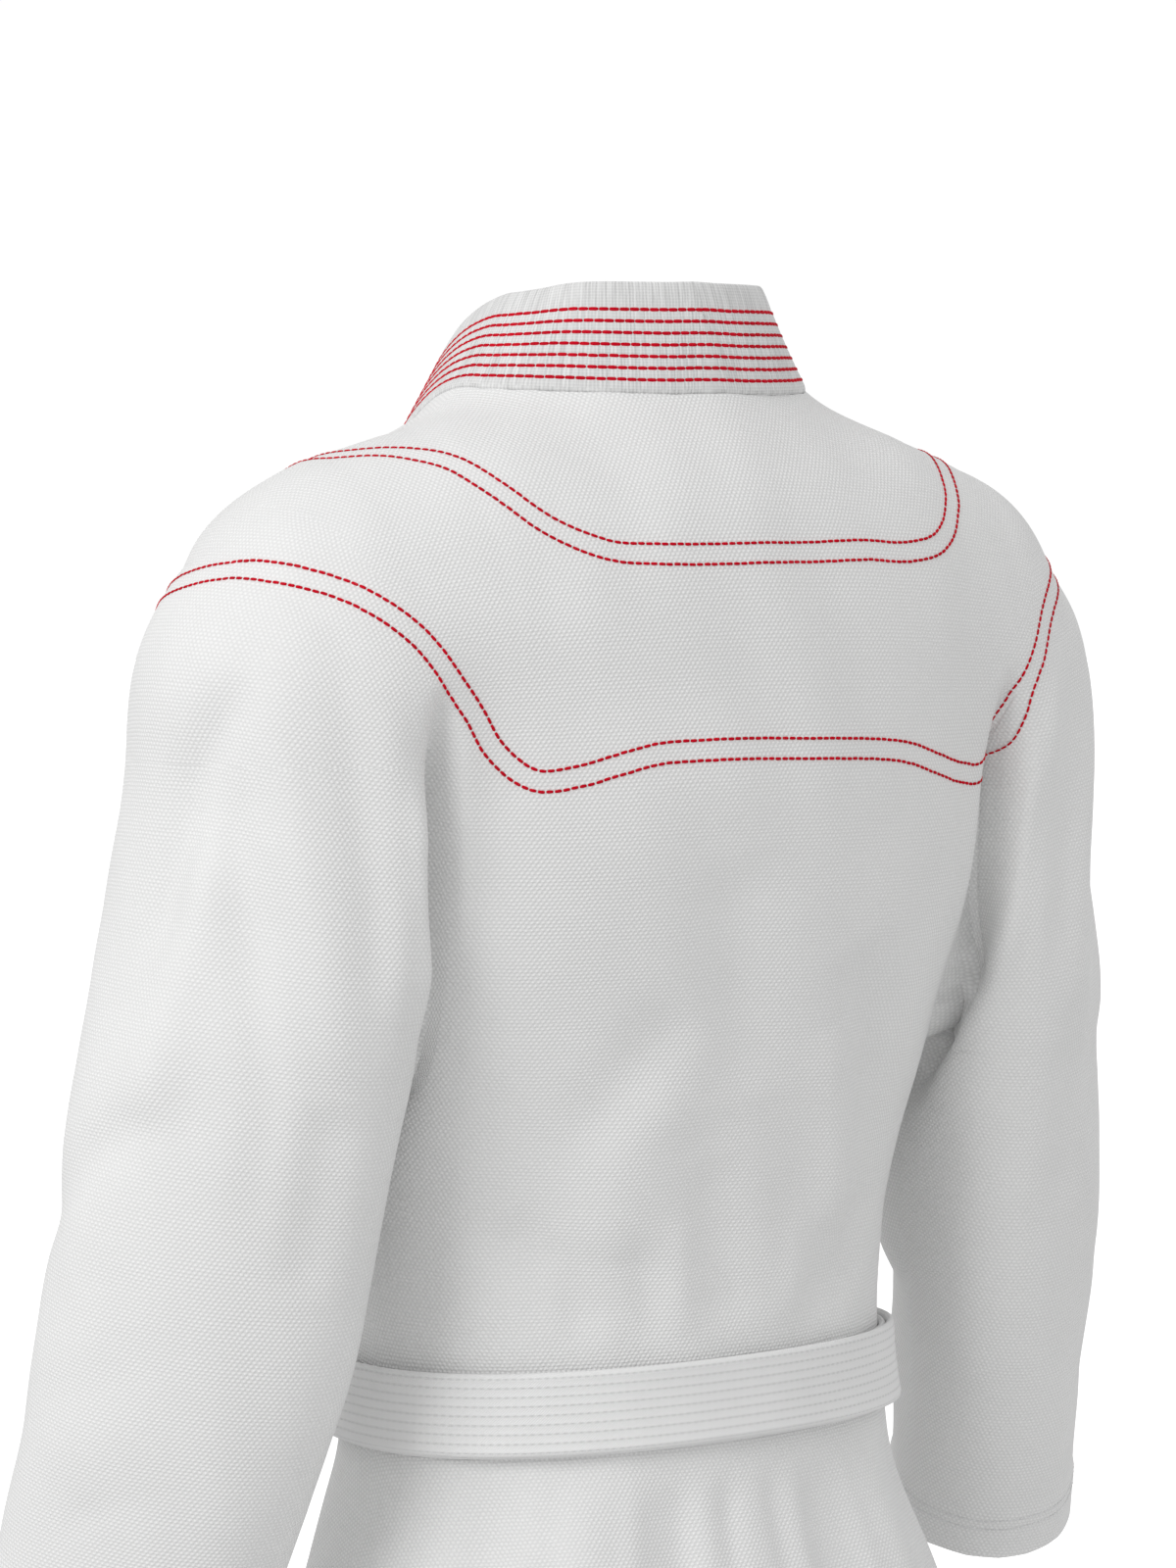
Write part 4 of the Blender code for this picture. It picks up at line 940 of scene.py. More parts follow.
def stitches(name, paths, length=0.0033, gap=0.0007, wide=0.0015, high=0.0006, ends=0.55):
    """Rows of raised stitches along the paths, each path its points and normals."""
    t = np.array([0.0, 0.14, 0.5, 0.86, 1.0])
    size = np.array([ends, 0.92, 1.0, 0.92, ends])
    turn = np.linspace(0, np.pi, 5)
    rings = []
    for points, normals in paths:
        seg = np.linalg.norm(np.diff(points, axis=0), axis=1)
        run = np.r_[0, np.cumsum(seg)]
        start = np.arange(0.0006, run[-1] - length, length + gap)
        if len(start) == 0:
            continue
        at = start[:, None] + t[None] * length + rng.normal(0, 0.00006, (len(start), 1))
        p = np.stack([np.interp(at, run, points[:, k]) for k in range(3)], -1)
        n = eye(np.stack([np.interp(at, run, normals[:, k]) for k in range(3)], -1))
        way = eye(p[:, -1:] - p[:, :1])
        side = eye(np.cross(n, way))
        p = p + side * rng.normal(0, 0.00005, (len(start), 1, 1))
        c, s = np.cos(turn), np.sin(turn)
        ring = (
            p[:, :, None]
            + side[:, :, None] * (size[None, :, None, None] * c[None, None, :, None] * wide / 2)
            + n[:, :, None] * (size[None, :, None, None] ** 2 * (s * high)[None, None, :, None] + 0.00010)
        )
        rings.append(ring)
    rings = np.concatenate(rings)
    number = len(rings)
    r, k = np.meshgrid(np.arange(4), np.arange(4), indexing="ij")
    one = np.stack([r * 5 + k, (r + 1) * 5 + k, (r + 1) * 5 + k + 1, r * 5 + k + 1], -1).reshape(-1, 4)
    caps = np.array([[0, 1, 2, 3, 4], [24, 23, 22, 21, 20]])
    base = (np.arange(number) * 25)[:, None, None]
    faces = (one[None] + base).reshape(-1, 4).tolist() + (caps[None] + base).reshape(-1, 5).tolist()
    return add_mesh(name, rings.reshape(-1, 3), faces, None, sharp=80)


def nodes_of(name):
    mat = bpy.data.materials.new(name)
    mat.use_nodes = True
    tree = mat.node_tree
    for n in list(tree.nodes):
        tree.nodes.remove(n)
    end = tree.nodes.new("ShaderNodeOutputMaterial")
    skin = tree.nodes.new("ShaderNodeBsdfPrincipled")
    tree.links.new(skin.outputs[0], end.inputs["Surface"])
    return mat, tree, skin


def math_node(tree, kind, a, b=None, c=None):
    n = tree.nodes.new("ShaderNodeMath")
    n.operation = kind
    for k, v in enumerate((a, b, c)):
        if v is None:
            continue
        if hasattr(v, "type"):
            tree.links.new(v, n.inputs[k])
        else:
            n.inputs[k].default_value = v
    return n.outputs[0]


def noise(tree, vector, scale, detail=2.0, rough=0.5):
    n = tree.nodes.new("ShaderNodeTexNoise")
    n.inputs["Scale"].default_value = scale
    n.inputs["Detail"].default_value = detail
    n.inputs["Roughness"].default_value = rough
    tree.links.new(vector, n.inputs["Vector"])
    return n.outputs["Fac"]


def ramp(tree, fac, low, high, dark, light):
    n = tree.nodes.new("ShaderNodeValToRGB")
    n.color_ramp.elements[0].position = low
    n.color_ramp.elements[1].position = high
    n.color_ramp.elements[0].color = (*dark, 1)
    n.color_ramp.elements[1].color = (*light, 1)
    tree.links.new(fac, n.inputs["Fac"])
    return n.outputs["Color"]


def spread(tree, fac, low, high):
    n = tree.nodes.new("ShaderNodeMapRange")
    n.inputs["To Min"].default_value = low
    n.inputs["To Max"].default_value = high
    tree.links.new(fac, n.inputs["Value"])
    return n.outputs["Result"]


def bump(tree, height, distance, strength, under=None):
    n = tree.nodes.new("ShaderNodeBump")
    n.inputs["Distance"].default_value = distance
    n.inputs["Strength"].default_value = strength
    tree.links.new(height, n.inputs["Height"])
    if under is not None:
        tree.links.new(under, n.inputs["Normal"])
    return n.outputs["Normal"]


def places(tree):
    """The cloth's own two directions in metres, and its place in space."""
    uv = tree.nodes.new("ShaderNodeUVMap")
    uv.uv_map = "UVMap"
    parts = tree.nodes.new("ShaderNodeSeparateXYZ")
    tree.links.new(uv.outputs[0], parts.inputs[0])
    coord = tree.nodes.new("ShaderNodeTexCoord")
    return uv.outputs[0], parts.outputs[0], parts.outputs[1], coord.outputs["Object"]


def tint(tree, a, b, fac):
    n = tree.nodes.new("ShaderNodeMix")
    n.data_type = "RGBA"
    n.blend_type = "MULTIPLY"
    n.inputs["Factor"].default_value = fac
    tree.links.new(a, n.inputs["A"])
    tree.links.new(b, n.inputs["B"])
    return n.outputs["Result"]


def cotton(
    tree, skin, uv, at, height, painted_hollow_shade, patch, tone, fibre, rough, fine, relief, sheen, gloss
):
    """What the cottons share: painted shade in the weave's hollows, faint patches, fibre and a soft sheen.
    """
    fluff = noise(tree, uv, fibre, 2.0, 0.6)
    tones = ramp(tree, noise(tree, at, patch, 3.0, 0.55), 0.3, 0.7, (tone,) * 3, (1.0, 1.0, 1.0))
    # painted shade: the base colour runs from dark to light with the weave's height, so the hollows are
    # darker
    tree.links.new(tint(tree, ramp(tree, height, *painted_hollow_shade), tones, 1.0), skin.inputs["Base Color"])
    tree.links.new(spread(tree, fluff, *rough), skin.inputs["Roughness"])
    under = bump(tree, fluff, fine, 0.5)
    tree.links.new(bump(tree, height, *relief, under), skin.inputs["Normal"])
    skin.inputs["Sheen Weight"].default_value = sheen
    skin.inputs["Specular IOR Level"].default_value = gloss


def pearl_cloth(name):
    """White cotton in a pearl weave: small raised dots in staggered rows."""
    mat, tree, skin = nodes_of(name)
    uv, u, v, at = places(tree)
    stray = math_node(tree, "SUBTRACT", noise(tree, uv, 140.0, 2.0), 0.5)
    stray = math_node(tree, "MULTIPLY", stray, 1.3)
    cu = math_node(tree, "COSINE", math_node(tree, "MULTIPLY_ADD", u, 2 * math.pi / 0.0025, stray))
    cv = math_node(tree, "COSINE", math_node(tree, "MULTIPLY_ADD", v, 2 * math.pi / 0.0036, stray))
    rows = math_node(tree, "MULTIPLY", cv, cv)
    dots = math_node(tree, "MULTIPLY_ADD", math_node(tree, "MULTIPLY", cu, cv), 0.34, 0.34)
    dots = math_node(tree, "MULTIPLY_ADD", rows, 0.32, dots)
    # painted shade: darker colour in the hollows between the raised dots
    painted_hollow_shade = (0.05, 0.75, (0.69, 0.69, 0.688), (0.90, 0.90, 0.896))
    cotton(
        tree, skin, uv, at, dots, painted_hollow_shade, 16.0, 0.965, 2600.0,
        (0.78, 0.92), 0.00012, (0.0006, 0.9), 0.12, 0.25,
    )
    skin.inputs["Sheen Roughness"].default_value = 0.5
    return mat


def ribbed_band(name):
    """The collar band: white cotton with fine ribs across it."""
    mat, tree, skin = nodes_of(name)
    uv, u, v, at = places(tree)
    stray = math_node(tree, "SUBTRACT", noise(tree, uv, 260.0, 2.0), 0.5)
    stray = math_node(tree, "MULTIPLY", stray, 1.6)
    drawn = tree.nodes.new("ShaderNodeCombineXYZ")
    tree.links.new(u, drawn.inputs[0])
    tree.links.new(math_node(tree, "MULTIPLY", v, 0.05), drawn.inputs[1])
    uneven = noise(tree, drawn.outputs[0], 620.0, 3.0, 0.65)
    rib = math_node(tree, "SINE", math_node(tree, "MULTIPLY_ADD", u, 2 * math.pi / 0.0017, stray))
    cross = math_node(tree, "SINE", math_node(tree, "MULTIPLY_ADD", v, 2 * math.pi / 0.0015, stray))
    height = math_node(tree, "MULTIPLY_ADD", rib, 0.12, math_node(tree, "MULTIPLY_ADD", cross, 0.08, -0.25))
    height = math_node(tree, "MULTIPLY_ADD", uneven, 1.5, height)
    # painted shade: darker colour in the hollows between the ribs, mixed with random unevenness along them
    painted_hollow_shade = (0.1, 0.8, (0.53, 0.53, 0.528), (0.82, 0.82, 0.817))
    cotton(
        tree, skin, uv, at, height, painted_hollow_shade, 22.0, 0.96, 2200.0,
        (0.76, 0.9), 0.00012, (0.00045, 0.75), 0.1, 0.25,
    )
    skin.inputs["Sheen Roughness"].default_value = 0.5
    return mat


def belt_cotton(name):
    """The belt: a fine diagonal twill with rows of white sewing sunk into it."""
    mat, tree, skin = nodes_of(name)
    uv, u, v, at = places(tree)
    slant = math_node(tree, "ADD", u, v)
    twill = math_node(tree, "SINE", math_node(tree, "MULTIPLY", slant, 2 * math.pi / 0.0013))
    rows = math_node(tree, "COSINE", math_node(tree, "MULTIPLY", v, 2 * math.pi / 0.0044))
    sunk = math_node(tree, "POWER", math_node(tree, "MULTIPLY_ADD", rows, 0.5, 0.5), 8.0)
    dash = math_node(tree, "SINE", math_node(tree, "MULTIPLY", u, 2 * math.pi / 0.0036))
    thread = math_node(tree, "MULTIPLY", sunk, math_node(tree, "MULTIPLY_ADD", dash, 0.4, 0.4))
    woven = math_node(tree, "MULTIPLY_ADD", twill, 0.12, 0.6)
    height = math_node(tree, "SUBTRACT", woven, math_node(tree, "MULTIPLY", sunk, 0.7))
    height = math_node(tree, "ADD", height, math_node(tree, "MULTIPLY", thread, 0.6))
    # painted shade: the colour follows the height, darker in the twill's hollows and the sunk sewing rows
    painted_hollow_shade = (0.0, 0.75, (0.70, 0.70, 0.70), (0.87, 0.87, 0.868))
    cotton(
        tree, skin, uv, at, height, painted_hollow_shade, 20.0, 0.955, 2400.0,
        (0.7, 0.86), 0.0001, (0.0006, 0.8), 0.08, 0.3,
    )
    return mat


def thread(name, dark, light):
    """Sewing thread: a fine twist along each stitch."""
    mat, tree, skin = nodes_of(name)
    at = tree.nodes.new("ShaderNodeTexCoord").outputs["Object"]
    twist = noise(tree, at, 2400.0, 2.0, 0.55)
    patch = noise(tree, at, 60.0, 2.0, 0.5)
    shade = ramp(tree, twist, 0.3, 0.7, dark, light)
    tone = ramp(tree, patch, 0.35, 0.65, (0.86, 0.86, 0.86), (1.0, 1.0, 1.0))
    tree.links.new(tint(tree, shade, tone, 1.0), skin.inputs["Base Color"])
    tree.links.new(spread(tree, twist, 0.55, 0.75), skin.inputs["Roughness"])
    tree.links.new(bump(tree, twist, 0.00012, 0.6), skin.inputs["Normal"])
    skin.inputs["Specular IOR Level"].default_value = 0.08
    return mat


PEARL = pearl_cloth("pearl_weave")
RIB = ribbed_band("collar_rib")
COTTON = belt_cotton("belt_cotton")
RED = thread("red_thread", (0.48, 0.001, 0.010), (0.68, 0.001, 0.018))
WHITE = thread("white_thread", (0.74, 0.74, 0.75), (0.9, 0.9, 0.9))


def dress(thing, mat, node=None):
    """The piece's finish and its place on the object."""
    thing.data.materials.append(mat)
    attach(thing, "root")
    if node:
        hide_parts(node)
    return thing


def open_vent(grid, ends):
    """The side vents drawn open toward the hem."""
    for row in grid:
        if row[0, 2] >= VENT - 1e-6:
            continue
        gap = 0.00002 + 0.0038 * (VENT - row[0, 2]) / (VENT - HEM)
        for end, step in ends:
            way = eye(row[end + step] - row[end])
            for k in range(4):
                row[end + step * k] += way * gap * (1 - k / 4)
    return grid


def none(p):
    return np.zeros(len(p))


def left_lift(p):
    return LAP * over(p, band_rim)


def trunk_hem(p):
    return p[:, 2] - HEM


back = back_grid(COLS_NECK, COLS_SIDE, ROWS_UP, ROWS_MID, ROWS_LOW)
front = front_grid(COLS_FRONT, ROWS_UP, ROWS_MID, ROWS_LOW)
cap, tube = sleeve_grid(COLS_SLEEVE, 2 * ROWS_UP, ROWS_MID, ROWS_ARM)
front_turn = np.r_[np.linspace(90, 180, ROWS_UP + 1), np.full(len(front) - ROWS_UP - 1, 180.0)]
band_rim = free_edge(front[:, 0], front_turn)
lapel_edge = front[:, 0].copy()

back = open_vent(back, ((0, 1), (-1, -1)))
front = open_vent(front, ((-1, -1),))

flat_back, = flatten([back], trunk_field, [np.zeros(back.shape[:2])])
flat_front, = flatten([front], trunk_field, [np.zeros(front.shape[:2])])
far_side = np.zeros(tube.shape[:2])
far_side[ROWS_MID:, -1] = 1
flat_cap, flat_tube = flatten([cap, tube], sleeve_field, [np.zeros(cap.shape[:2]), far_side])

thing = cloth("cloth_back", [back], [flat_back], trunk_field, none, trunk_hem)
cloth_back = dress(thing, PEARL, "back")
left = np.array([1.0, 1, 1])
right = np.array([-1.0, 1, 1])
for name, flip, lift in (
    ("left", left, left_lift),
    ("right", right, none),
):
    thing = cloth("cloth_front_" + name, [front * flip], [flat_front], trunk_field, lift, trunk_hem)
    dress(thing, PEARL, "front_" + name)

cuff = tube[-1]
centre = cuff[:-1].mean(0)
cuff_normal = np.linalg.svd(cuff[:-1] - centre)[2][-1]
cuff_normal = cuff_normal * np.sign(cuff_normal[2])
for name, flip in (("left", left), ("right", right)):
    way, at = cuff_normal * flip, centre * flip
    thing = cloth(
        "cloth_sleeve_" + name, [cap * flip, tube * flip], [flat_cap, flat_tube], sleeve_field, none,
        lambda p, way=way, at=at: (p - at) @ way,
    )
    dress(thing, PEARL, "sleeve_" + name)

# the collar and lapel band
ROWS = (0.12, 0.223, 0.327, 0.43, 0.534, 0.637, 0.741)
s = np.linspace(0, 1, COLS_NECK + 1)
neck_x, neck_turn = neck_behind(s)
start = np.stack([neck_x, np.full(len(s), MIDDLE), np.full(len(s), SHELF)], -1)
t = np.radians(neck_turn)
neck_edge = shoot(start, np.stack([0 * t, np.cos(t), np.sin(t)], -1))
edge = np.concatenate([neck_edge, lapel_edge[1:]])
band_turn = np.r_[neck_turn, front_turn[1:]]


def denser(v, k):
    at = np.arange((len(v) - 1) * k + 1) / k
    rows = np.column_stack([np.arange(len(v), dtype=float), v])
    return read(rows, at)


edge = denser(edge, FINE)
edge, _ = settle(edge, trunk_field, 3)
band_turn = denser(band_turn[:, None], FINE)[:, 0]
half = band_grid(edge, band_turn, 8)
raised = eye(gradient(half, trunk_field))
own = eye(np.cross(np.gradient(half, axis=1), np.gradient(half, axis=0)))
own = own * np.sign((own * raised).sum(-1, keepdims=True) + 1e-9)
lie = smooth((band_turn - LIE[0]) / (LIE[1] - LIE[0]))[:, None, None]
half_normal = eye(raised * lie + own * (1 - lie))
# the two halves meet square at the centre back
half[0, :, 0] = 0
half_normal[:4, :, 0] *= np.array([0.0, 0.35, 0.7, 0.9])[:, None]
half_normal = eye(half_normal)
folds, waves = fold_height(half, FOLDS + CREASES), swell(half)
height = (folds + 0.5 * waves) * smooth((band_turn - 150) / 30)[:, None]
height[:, 0] = (folds + waves)[:, 0]
left_half = half + half_normal * height[..., None]
up_left = over(half, band_rim)
right_half = left_half * right
grid = np.concatenate([right_half[:0:-1], left_half])
normal = np.concatenate([(half_normal * right)[:0:-1], half_normal])
lifted = np.concatenate([np.zeros(up_left[:0:-1].shape), up_left])
middle = 0.001 + (LAP + 0.001) * lifted - BAND_THICK / 2
profile = band_profile(BAND, BAND_THICK, ROWS, 0.00035)
cloth_collar = dress(strap("cloth_collar", grid, normal, middle, profile), RIB, "collar")

paths = []
for w in ROWS:
    at = w * 8
    i = int(at)
    f = at - i
    line = grid[:, i] * (1 - f) + grid[:, i + 1] * f
    nor = eye(normal[:, i] * (1 - f) + normal[:, i + 1] * f)
    m = middle[:, i] * (1 - f) + middle[:, i + 1] * f
    paths.append((line + nor * (m + BAND_THICK / 2)[:, None], nor))
dress(stitches("stitch_collar", paths, length=0.0046, gap=0.0003, wide=0.0019), RED)

# the yoke's two double rows, from centre back over the shoulder to the lapel; the jacket
# hangs a little turned, so its two halves have their own rows; points in millimetres
INNER_LEFT = np.array([
    (24, 110, -70.5), (60, 106, -70), (86, 100, -68), (109, 91, -57),
    (126, 75, -41), (137, 56, -31), (151, 34, -26), (169, 6, -27),
    (174, -30, -33), (166, -60, -52), (150, -82, -80), (130, -92, -98),
    (104, -96, -106),
]) / 1000
INNER_RIGHT = np.array([
    (-20, 109, -70.5), (-62, 105, -70), (-95, 101, -70.5), (-111, 97, -68),
    (-124, 90, -61), (-134, 78, -51), (-149, 49, -32), (-160, 15, -27),
    (-168, -25, -32), (-163, -58, -50), (-150, -82, -80), (-130, -92, -98),
    (-104, -96, -106),
]) / 1000
OUTER_LEFT = np.array([
    (15, 121, -161), (45, 119, -161), (66, 116, -162), (88, 111, -167),
    (105, 107, -171.5), (123, 99, -173), (138, 94, -161), (148, 93, -145),
    (160, 92, -129), (177, 88, -108), (200, 75, -89), (222, 51, -79),
    (232, 30, -77), (242, -13, -82), (237, -36, -90), (220, -60, -103),
    (195, -80, -120), (170, -90, -140), (150, -97, -165), (130, -105, -185),
    (110, -112, -190), (83, -119, -175),
]) / 1000
OUTER_RIGHT = np.array([
    (-12, 120, -162), (-40, 120, -163), (-66, 116, -164.5), (-88, 111, -167.5),
    (-112, 104, -174), (-137, 93, -180), (-152, 89, -181), (-162, 89, -174),
    (-168, 90, -159), (-172, 91, -143), (-183, 90, -123), (-196, 82, -103),
    (-215, 63, -86), (-232, 30, -78), (-241, -5, -80), (-237, -36, -90),
    (-220, -60, -103), (-195, -80, -120), (-170, -90, -140), (-150, -97, -165),
    (-130, -105, -185), (-110, -112, -190), (-83, -119, -175),
]) / 1000
PAIR = 0.0096


def row_pair(one, other):
    """Both rows of a double line on the cloth: their points and normals."""
    whole = np.concatenate([other[::-1], one])
    run = np.r_[0, np.cumsum(np.linalg.norm(np.diff(whole, axis=0), axis=1))]
    dense = read(np.column_stack([run, whole]), np.linspace(0, run[-1], 900))
    plain, n = settle(dense, field, 8)
    way = eye(np.gradient(plain, axis=0))
    aside = eye(np.cross(n, way))
    away = plain - np.array([0.0, 0.0, 0.02])
    aside = aside * np.sign((aside * away).sum(-1).sum())
    second, n2 = settle(plain + aside * PAIR, field, 8)
    out = []
    for q, m in ((plain, n), (second, n2)):
        out.append((form(q, m) + m * left_lift(q)[:, None], m))
    return out


dress(stitches("stitch_yoke_inner", row_pair(INNER_LEFT, INNER_RIGHT)), RED)
dress(stitches("stitch_yoke_outer", row_pair(OUTER_LEFT, OUTER_RIGHT)), RED)


# hems: two white rows round each cuff and along the jacket's lower edge
def edge_rows(grids, f, reach, lift, depths):
    rows_ = []
    for depth in depths:
        for g in grids:
            part = g[-14:]
            inside = np.array([
                [np.interp(depth, reach(col)[::-1], col[::-1, k]) for k in range(3)]
                for col in part.swapaxes(0, 1)
            ])
            q, m = settle(inside, f, 4)
            rows_.append((form(q, m) + m * (lift(q) + 0.0008)[:, None], m))
    return rows_


hem_paths = []
for panel, lift in ((back, none), (front, left_lift), (front * right, none)):
    hem_paths += edge_rows([finer(panel, FINE, FINE)], trunk_field, trunk_hem, lift, HEM_ROWS)
for flip in (left, right):
    way, at = cuff_normal * flip, centre * flip
    hem_paths += edge_rows(
        [finer(tube * flip, FINE, FINE)], sleeve_field,
        lambda p, way=way, at=at: (p - at) @ way, none, HEM_ROWS,
    )
dress(stitches("stitch_hems", hem_paths, wide=0.0008, high=0.00035), WHITE)


# the belt: two turns one over the other
def belt_line(angle):
    return BELT_HEIGHT - BELT_DROP * (1 - np.cos(angle)) / 2


turn = np.linspace(0, 2 * np.pi, 193)
rows_ = []
for k in np.linspace(-0.0195, 0.0195, 5):
    z = belt_line(turn) + k
    cy = read(TORSO, z)[..., 1]
    start = np.stack([0 * turn, cy, z], -1)
    rows_.append(shoot(start, np.stack([np.sin(turn), np.cos(turn), 0 * turn], -1), trunk_field))
grid = np.array(rows_).swapaxes(0, 1)
grid[-1] = grid[0]
normal = gradient(grid, trunk_field)
normal[..., 2] = 0
normal = eye(normal)
layers = smooth((0.150 - np.abs(grid[..., 0])) / 0.040) * smooth(-grid[..., 1] / 0.040)
inner = 0.0012 + 0.0062 * layers
belt_rows = tuple(np.linspace(0.11, 0.89, 8))
belt_profile = band_profile(0.039, 0.0036, belt_rows, 0.00025)
low_turn = grid + np.array([0, 0, -0.0006])
high_turn = grid + np.array([0, 0, 0.0012])
thing = strap("belt_turn_under", low_turn, normal, inner + 0.0019, belt_profile, closed=True)
belt_under = dress(thing, COTTON, "belt_wrap")
thing = strap("belt_turn_over", high_turn, normal, inner + 0.0060, belt_profile, closed=True)
belt_over = dress(thing, COTTON)

# middle of the belt's end: x, y, z, lean of its width from level in degrees
TAIL_LEFT = np.array([
    (0.0174, -0.1380, -0.5094, 24),
    (0.031, -0.1400, -0.5500, 22),
    (0.046, -0.1420, -0.5950, 17),
    (0.058, -0.1430, -0.6450, 13),
    (0.067, -0.1450, -0.6950, 10),
    (0.074, -0.1480, -0.7450, 8),
])
TAIL_RIGHT = np.array([
    (-0.0178, -0.1380, -0.5149, -20),
    (-0.034, -0.1410, -0.5510, -25),
    (-0.052, -0.1430, -0.5960, -20),
    (-0.067, -0.1430, -0.6450, -15),
    (-0.078, -0.1440, -0.6940, -11),
    (-0.086, -0.1460, -0.7330, -9),
])


def ribbon(name, table, width, thick, fine=60, rows_across=belt_rows):
    """A flat length of belt along the table's points, leaning as its last column says."""
    at = np.arange(len(table), dtype=float)
    rows = read(np.column_stack([at, table]), np.linspace(0, len(table) - 1, fine))
    middle_ = rows[:, :3]
    along = eye(np.gradient(middle_, axis=0))
    lean = np.radians(rows[:, 3])
    across = np.stack([np.cos(lean), 0 * lean, np.sin(lean)], -1)
    across = eye(across - (across * along).sum(-1, keepdims=True) * along)
    out = eye(np.cross(across, along))
    out = out * np.where(out[:1, 1:2] > 0, -1.0, 1.0)
    place = np.linspace(-0.5, 0.5, 5)
    if rows.shape[1] > 4:
        width = rows[:, 4][:, None, None]
    grid_ = middle_[:, None] + across[:, None] * place[None, :, None] * width
    nor = np.repeat(out[:, None], 5, axis=1)
    mid = np.zeros(grid_.shape[:2])
    w = float(np.mean(width)) if hasattr(width, "shape") else width
    return strap(name, grid_, nor, mid, band_profile(w, thick, rows_across, 0.00025))


for name, table in (("left", TAIL_LEFT), ("right", TAIL_RIGHT)):
    thing = ribbon("belt_end_" + name, table, 0.0395, 0.0040)
    dress(thing, COTTON, "belt_tail_" + name)


def knot_loop(name, table, width, thick, lean_in):
    """A turn of the knot: a closed loop of belt round the belt's front."""
    angle = np.linspace(0, 2 * np.pi, 97)
    x0, y0, z0, deep, tall, slant = table
    c, s_ = np.cos(angle), np.sin(angle)
    y = y0 - deep * np.sign(c) * np.abs(c) ** 0.75
    z = z0 + tall * np.sign(s_) * np.abs(s_) ** 0.75
    x = x0 + slant * s_
    middle_ = np.stack([x, y, z], -1)
    along = eye(np.gradient(middle_, axis=0))
    along[-1] = along[0] = eye(middle_[1] - middle_[-2])
    centre_ = np.array([x0, y0, z0])
    out = middle_ - centre_
    out[:, 0] = 0
    out = eye(out - (out * along).sum(-1, keepdims=True) * along)
    across = eye(np.cross(along, out))
    across = across * np.sign(across[:1, :1])
    wide = width * (1 - lean_in * np.abs(s_) ** 2)
    place = np.linspace(-0.5, 0.5, 5)
    grid_ = middle_[:, None] + across[:, None] * place[None, :, None] * wide[:, None, None]
    sag = -0.004 * (2 * place) ** 2
    grid_ = grid_ + out[:, None] * sag[None, :, None]
    nor = eye(out[:, None] + across[:, None] * (2 * place)[None, :, None] * 0.4)
    section = band_profile(width, thick, belt_rows, 0.00025)
    return strap(name, grid_, nor, np.zeros(grid_.shape[:2]), section, closed=True)


# the loop's middle x, y and z, its half depth and half height, and its slant
KNOT_TURN = (0.0, -0.1388, -0.4880, 0.0100, 0.0235, 0.004)
thing = knot_loop("knot_turn", KNOT_TURN, 0.046, 0.0036, 0.28)
knot_wrap = dress(thing, COTTON, "belt_knot")
OVER = np.array([
    (0.0310, -0.1350, -0.4700, 131),
    (0.0220, -0.1480, -0.4765, 131),
    (0.0080, -0.1540, -0.4865, 131),
    (-0.0050, -0.1540, -0.4965, 136),
    (-0.0135, -0.1495, -0.5060, 148),
    (-0.0180, -0.1405, -0.5155, 160),
])
knot_over = dress(ribbon("knot_over", OVER, 0.037, 0.0036, fine=48), COTTON)

# floor, backdrop, light and camera


def stage_material(name, colour, glow):
    mat, _, skin = nodes_of(name)
    skin.inputs["Base Color"].default_value = (*colour, 1)
    skin.inputs["Roughness"].default_value = 0.9
    skin.inputs["Emission Color"].default_value = (1, 1, 1, 1)
    skin.inputs["Emission Strength"].default_value = glow
    return mat


def disc(name, radius, z):
    angle = np.linspace(0, 2 * np.pi, 97)[:-1]
    points = np.stack([radius * np.cos(angle), radius * np.sin(angle), np.full(96, z)], -1)
    mesh = bpy.data.meshes.new(name)
    mesh.from_pydata(points.tolist(), [], [list(range(96))])
    return put(name, mesh)


SKY_LOW, SKY_HIGH = 0.66, 0.79
floor = disc("floor", 30.0, -1.42)
floor.data.materials.append(stage_material("floor_pale", (0.85, 0.85, 0.85), 0.62))


def dome(name, radius):
    """A plain white studio surround."""
    mesh = bpy.data.meshes.new(name)
    shell = bmesh.new()
    bmesh.ops.create_uvsphere(shell, u_segments=48, v_segments=24, radius=radius)
    shell.to_mesh(mesh)
    shell.free()
    return put(name, mesh)


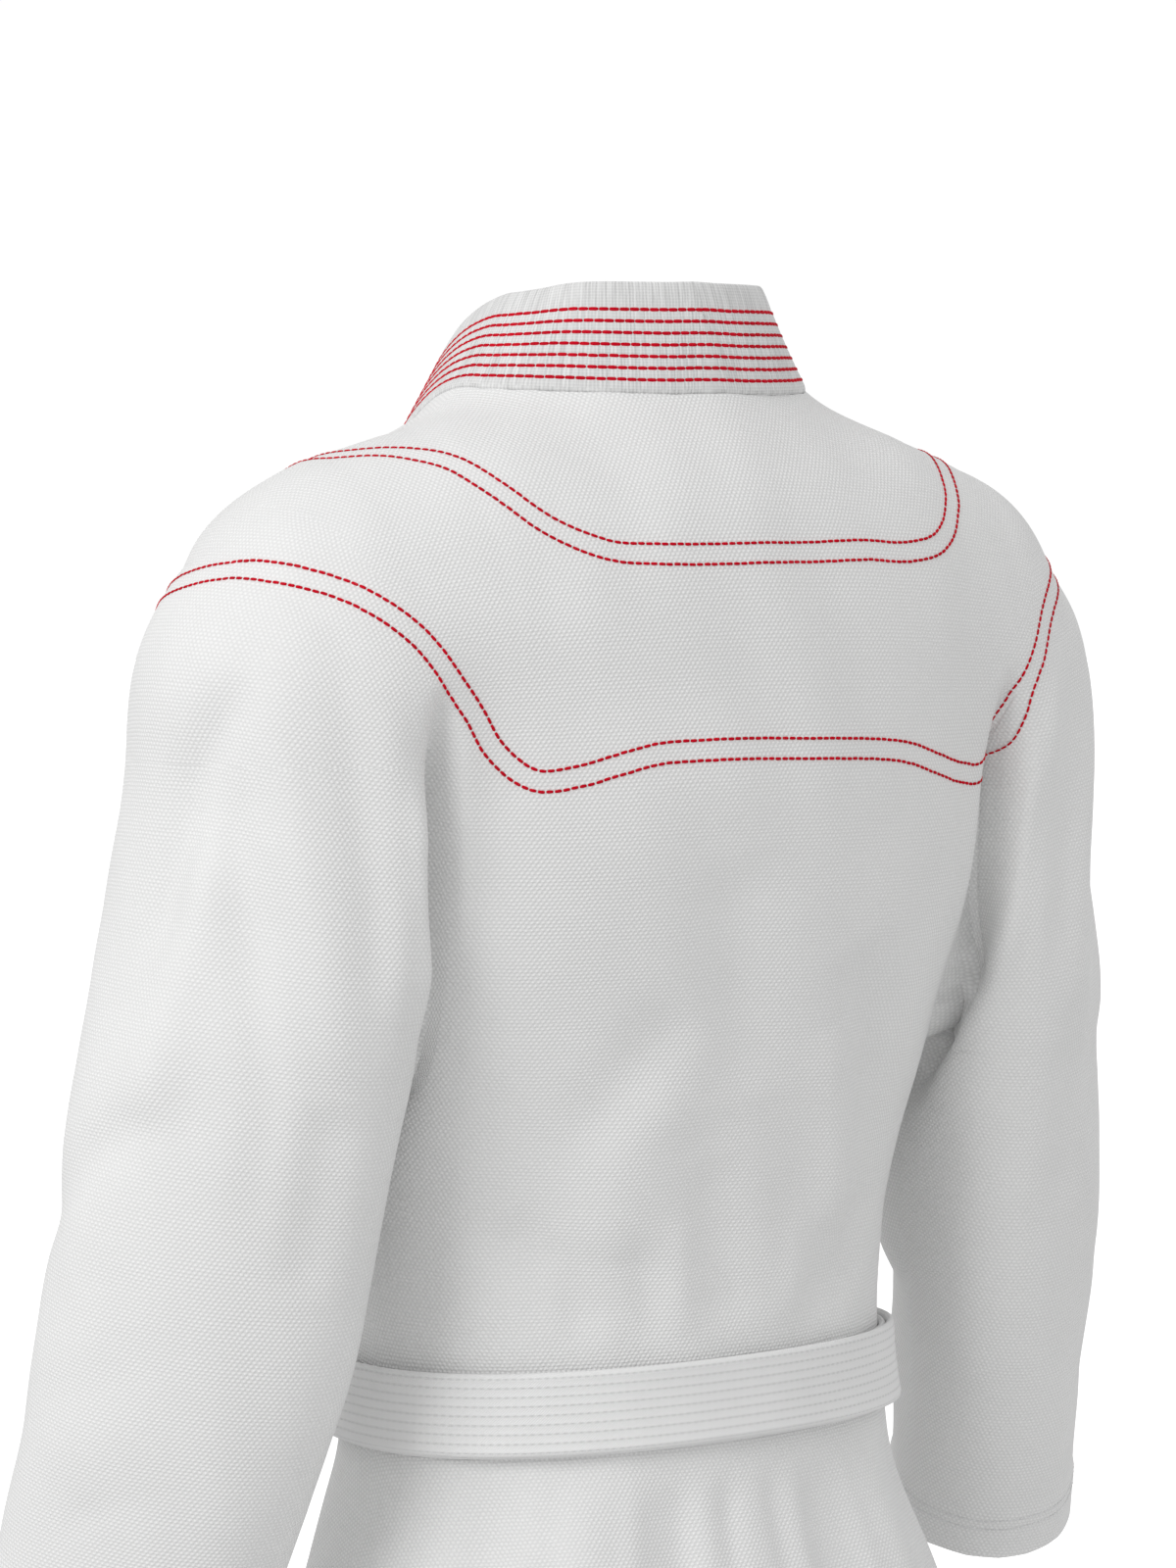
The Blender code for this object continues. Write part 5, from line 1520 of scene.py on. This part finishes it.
surround = dome("surround", 31.0)
surround.data.materials.append(stage_material("surround_white", (0.0, 0.0, 0.0), 1.0))
for thing in (surround, floor):
    thing.visible_diffuse = False
    thing.visible_glossy = False
    thing.visible_transmission = False
    thing.visible_shadow = False

world = bpy.data.worlds.new("studio")
world.use_nodes = True
tree = world.node_tree
sky = tree.nodes["Background"]
coord = tree.nodes.new("ShaderNodeTexCoord")
parts = tree.nodes.new("ShaderNodeSeparateXYZ")
tree.links.new(coord.outputs["Generated"], parts.inputs[0])
rise = tree.nodes.new("ShaderNodeMapRange")
rise.interpolation_type = "SMOOTHSTEP"
rise.inputs["From Min"].default_value = -0.7
rise.inputs["From Max"].default_value = 0.8
rise.inputs["To Min"].default_value = SKY_LOW
rise.inputs["To Max"].default_value = SKY_HIGH
tree.links.new(parts.outputs["Z"], rise.inputs["Value"])
tree.links.new(rise.outputs["Result"], sky.inputs["Strength"])
sky.inputs["Color"].default_value = (1.0, 1.0, 1.0, 1)
bpy.context.scene.world = world
view = bpy.context.scene.view_settings
view.view_transform = "Standard"
view.look = "None"
view.exposure = 0.0
view.gamma = 1.0

AZIMUTH, ELEVATION, DISTANCE = 145.0, 4.0, 2.3
a, e = math.radians(AZIMUTH), math.radians(ELEVATION)
toward = np.array([math.sin(a) * math.cos(e), -math.cos(a) * math.cos(e), math.sin(e)])
across_view = np.array([math.cos(a), math.sin(a), 0.0])
target = np.array([0.0, 0.0, -0.19]) - across_view * 0.0207
where = target + toward * DISTANCE

camera_data = bpy.data.cameras.new("camera")
camera_data.sensor_fit = "VERTICAL"
camera_data.sensor_height = 36.0
camera_data.lens = 107.6
camera = put("camera", camera_data)


def aim(thing, at, to):
    thing.location = Vector(at)
    thing.rotation_euler = (Vector(to) - Vector(at)).to_track_quat("-Z", "Y").to_euler()


aim(camera, where, target)
bpy.context.scene.camera = camera


def area_light(name, at, size, watts):
    data = bpy.data.lights.new(name, "AREA")
    data.shape = "DISK"
    data.size = size
    data.energy = watts
    aim(put(name, data), at, (0.0, 0.0, -0.25))


high = np.array([0.0, 0.0, 1.0])
area_light("key", toward * 2.2 - across_view * 2.0 + high * 1.1, 1.8, 40.0)
